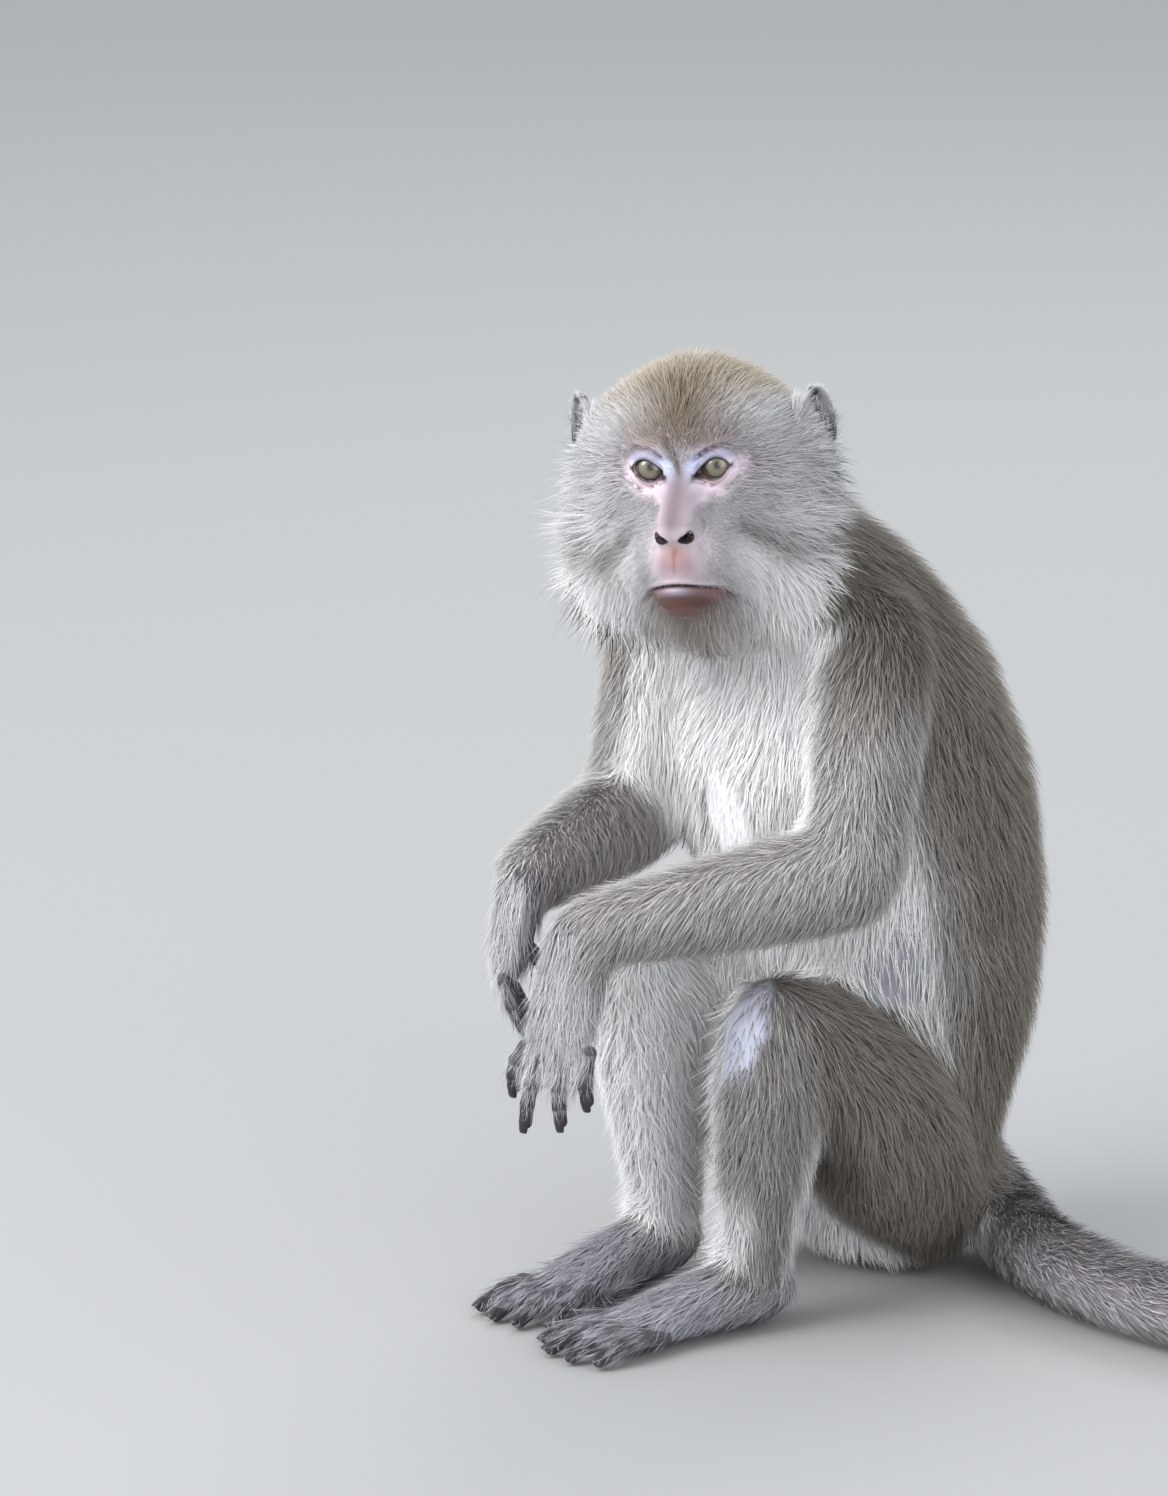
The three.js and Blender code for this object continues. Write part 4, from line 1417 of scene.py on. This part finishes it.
def make_tufts(seed, count, density):
    """Each tuft's root, middle and tip, its width, its outward direction and its colours."""
    random = np.random.default_rng(seed)
    corners, weights = tuft_roots(random, count, density)
    fields = (SKIN_POINTS, SKIN_NORMALS, SKIN_LIE, SKIN_LENGTH, SKIN_LOOSE, HAIR_UNDER, HAIR_TIP)
    root, normal, lie, longer, loose, under, pale = (blend_at(f, corners, weights) for f in fields)
    normal = unit(normal)
    lie = unit(lie)
    aside = np.cross(normal, lie)
    under_coat = -COAT.sample(root)
    depth = np.clip(under_coat, LEAST_DEPTH, MOST_DEPTH)
    length = (SHORTEST + LONGER_WITH_DEPTH * depth) * random.uniform(*OWN_SIZE, count)
    length = np.minimum(length * longer, MOST_LENGTH)
    turn = 0.16 * ripple(root, 32, 1) + (0.06 + 0.1 * loose) * ripple(root, 9, 2)
    turn = turn + random.normal(0, 0.13, count) * (1 + loose)
    lie = lie * np.cos(turn)[:, None] + aside * np.sin(turn)[:, None]
    rise = random.uniform(0.4, 1, count)
    reach = random.uniform(0.1, 1, count) ** 2 * LOCK_REACH * loose
    reach = reach * (random.random(count) < 0.1 + 0.35 * loose)
    middle = root + lie * (BEND_ALONG * length)[:, None] + normal * (0.4 * depth)[:, None]
    middle = move_to_depth(middle, under_coat - BEND_RISE * rise * depth, 0.5 * length)
    tip = root + lie * (TIP_ALONG * length)[:, None] + normal * (0.5 * depth)[:, None]
    tip = tip + aside * (0.08 * length * ripple(root, 11, 4) * (0.3 + loose))[:, None]
    tufted = (0.4 + 2.2 * loose) * ripple(root, 14, 5) * step(2, 8, depth)
    tip = move_to_depth(tip, under_coat - rise * depth - reach - tufted, 0.5 * length)
    tip[:, 2] = np.maximum(tip[:, 2], TIP_OFF_FLOOR)
    middle[:, 2] = np.maximum(middle[:, 2], BEND_OFF_FLOOR)
    width = (FINEST + WIDER_WITH_LENGTH * length) * random.uniform(*OWN_SIZE, count) * (1 + 0.25 * loose)
    colours = tuft_colours(random, root, under, pale)
    outward = unit(COAT.outward(middle) + 0.8 * normal)
    return np.stack([root - normal * 0.3, middle, tip], 1), width, outward, colours


# ---- The skin laid flat, and the coat's meshes

PATCH = 0.003  # size of one tuft's own piece of the flat square


def laid_out():
    """A rectangle of the flat unit square for each part, by the size of its skin."""
    sizes = {}
    for part, (centres, radii) in SKELETON.items():
        around = 2 * math.pi * radii.mean()
        length = np.linalg.norm(np.diff(centres, axis=0), axis=1).sum() + 2 * radii.mean()
        sizes[part] = around, length
    scale = 0.86 / math.sqrt(sum(around * length for around, length in sizes.values()))
    while True:
        places = {}
        left, bottom, tall = 0.0, 0.0, 0.0
        for part in sorted(PARTS, key=lambda name: -sizes[name][1]):
            wide, high = sizes[part][0] * scale, sizes[part][1] * scale
            if left + wide > 1:
                left, bottom, tall = 0.0, bottom + tall, 0.0
            places[part] = left, bottom, wide, high
            left += wide
            tall = max(tall, high)
        if bottom + tall <= 1:
            return places
        scale *= 0.97


def flat_places(points, nearest):
    """Where points on each part lie when its skin is slit along one side and laid flat."""
    flat = np.empty((len(points), 2))
    places = laid_out()
    for i, part in enumerate(PARTS):
        chosen = nearest == i
        centres, radii = SKELETON[part]
        axis = unit_axis(part)
        sideways = unit(np.cross(axis, [0.3, 0.2, 0.93]))
        third = np.cross(axis, sideways)
        offset = points[chosen] - centres.mean(0)
        turn = np.arctan2(offset @ third, offset @ sideways) / (2 * math.pi) + 0.5
        half = np.linalg.norm(centres[-1] - centres[0]) / 2 + radii.mean()
        along = np.clip(offset @ axis / (2 * half) + 0.5, 0, 1)
        left, bottom, wide, high = places[part]
        margin = 2 * PATCH
        flat[chosen, 0] = left + margin / 2 + turn * max(wide - 2 * margin, margin)
        flat[chosen, 1] = bottom + margin / 2 + along * max(high - 2 * margin, margin)
    return flat


BENT_FACES = [  # corners 0 to 2 at the root, 3 to 5 at the bend and 6 at the tip
    [0, 1, 2], [1, 0, 4], [4, 0, 3], [2, 1, 5], [5, 1, 4],
    [0, 2, 3], [3, 2, 5], [4, 3, 6], [5, 4, 6], [3, 5, 6],
]
BENT_FLAT = [[0, 0], [1, 0], [0.5, 0.1], [0.05, 0.5], [0.95, 0.5], [0.5, 0.6], [0.5, 1]]
STRAIGHT_FACES = [[0, 1, 2], [1, 0, 3], [2, 1, 3], [0, 2, 3]]
STRAIGHT_FLAT = [[0, 0], [1, 0], [0.5, 0.3], [0.5, 1]]
TUFT_SHAPES = {  # faces, and places of the corners laid flat, by the number of rings
    1: (np.array(STRAIGHT_FACES), np.array(STRAIGHT_FLAT)),
    2: (np.array(BENT_FACES), np.array(BENT_FLAT)),
}


def tuft_mesh(name, centres, width, outward, colours, flat):
    """Three-sided tufts that taper to a point, with one ring of corners or two, as one mesh."""
    rings = centres.shape[1] - 1
    layout, patch = TUFT_SHAPES[rings]
    along = unit(centres[:, -1] - centres[:, 0])
    aside = unit(np.cross(along, outward))
    ridge = np.cross(aside, along)
    half = (aside * width[:, None] / 2)[:, None]
    high = (ridge * width[:, None] * 0.35)[:, None]
    ring = np.concatenate([-half, half, high], 1)
    points = [centres[:, i : i + 1] + (0.8 if i == 0 else 1.0) * ring for i in range(rings)]
    points = np.concatenate([*points, centres[:, -1:]], 1)
    corners = 3 * rings + 1
    faces = (layout[None] + corners * np.arange(len(centres))[:, None, None]).reshape(-1, 3)
    mesh = mesh_from(name, points.reshape(-1, 3), faces)
    set_tint(mesh, np.repeat(colours, [3] * rings + [1], 1).reshape(-1, 3))
    layer = mesh.uv_layers.new(name="OFBake")
    spread = flat[:, None, None] + PATCH * patch[layout][None]
    layer.uv.foreach_set("vector", spread.astype(np.float32).ravel())
    lean = np.concatenate([-half, half, 0 * half], 1) * (0.65 / width[:, None, None])
    normals = unit(outward[:, None] + np.concatenate([lean] * rings + [0 * half], 1))
    mesh.shade_smooth()
    mesh.normals_split_custom_set_from_vertices(normals.reshape(-1, 3))
    return mesh


def add_tufts(title, tufts, rings, material):
    """Tufts as joined meshes by region, none of them above the piece limit."""
    centres, width, outward, colours = tufts
    if rings == 1:
        centres = centres[:, [0, 2]]
        colours = colours[:, [0, 2]]
    shares = part_shares(centres[:, 0])
    fields = centres, width, outward, colours, flat_places(centres[:, 0], shares.argmax(1))
    region = np.stack([shares @ is_kind(*kinds) for kinds in REGIONS.values()], 1).argmax(1)
    limit = PIECE_TRIANGLES // len(TUFT_SHAPES[rings][0])
    for number, name in enumerate(REGIONS):
        chosen = np.flatnonzero(region == number)
        pieces = math.ceil(len(chosen) / limit)
        for i, part in enumerate(np.array_split(chosen, max(pieces, 1))):
            full = f"coat_{name}_{title}_{i + 1}"
            mesh = tuft_mesh(full, *(field[part] for field in fields))
            add_piece(full, mesh, material)


def add_coat():
    material = tinted_material("coat", Roughness=0.75, Specular_IOR_Level=0.2)
    long_hair = step(3, 7, -COAT.sample(SKIN_POINTS))
    add_tufts("long", make_tufts(11, BENT_TUFTS, SKIN_DENSITY * long_hair), 2, material)
    add_tufts("short", make_tufts(12, STRAIGHT_TUFTS, SKIN_DENSITY), 1, material)


add_coat()

# ---- Floor, light and camera

VIEW_DISTANCE = 5.0
VIEW_HEIGHT = 0.7124  # how much of the scene's height the picture takes in
VIEW_SHIFT = np.array([-148.177, -46.833, -18.868]) * MM  # of the picture's middle from the chest's
SENSOR = 36.0
FLOOR_HALF = 12.0
LIGHT_AIM = (-0.1, 0.0, 0.25)
LIGHTS = {  # each lamp's place, width and power
    "key": ((-0.7, -2.5, 2.2), 2.4, 120),
    "fill": ((2.4, -0.7, 1.2), 2.2, 26),
    "rim": ((-1.4, 1.8, 2.2), 1.6, 30),
}
SKY_COLOUR = (0.9, 0.95, 1.0, 1)
SKY_STRENGTH = 1.1


def put(item, place, facing):
    """Puts a camera or lamp into the scene, with its back to the facing direction."""
    item.location = place
    item.rotation_mode = "QUATERNION"
    item.rotation_quaternion = Vector(facing).to_track_quat("Z", "Y")
    bpy.context.scene.collection.objects.link(item)


def place_camera():
    """The animal looks at the camera."""
    camera = bpy.data.objects.new("camera", bpy.data.cameras.new("camera"))
    camera.data.sensor_width = SENSOR
    camera.data.lens = SENSOR * VIEW_DISTANCE / VIEW_HEIGHT
    aim = box_centre("chest") * MM + VIEW_SHIFT
    put(camera, aim + GAZE * VIEW_DISTANCE, GAZE)
    bpy.context.scene.camera = camera


def add_floor():
    corners = np.array([[-1, -1, 0], [1, -1, 0], [1, 1, 0], [-1, 1, 0]]) * FLOOR_HALF / MM
    mesh = mesh_from("floor", corners, np.array([[0, 1, 2, 3]]))
    mesh.materials.append(new_material("floor", Base_Color=(0.32, 0.32, 0.32, 1), Roughness=0.9))
    floor = bpy.data.objects.new("floor", mesh)
    bpy.context.scene.collection.objects.link(floor)


def add_light(name, place, size, power):
    light = bpy.data.lights.new(name, "AREA")
    light.shape = "DISK"
    light.size = size
    light.energy = power
    put(bpy.data.objects.new(name, light), place, np.subtract(place, LIGHT_AIM))


def light_scene():
    world = bpy.data.worlds.new("studio")
    world.use_nodes = True
    background = world.node_tree.nodes["Background"]
    background.inputs["Color"].default_value = SKY_COLOUR
    background.inputs["Strength"].default_value = SKY_STRENGTH
    bpy.context.scene.world = world
    for name, (place, size, power) in LIGHTS.items():
        add_light(name, place, size, power)
    bpy.context.scene.view_settings.view_transform = "Standard"


place_camera()
add_floor()
light_scene()
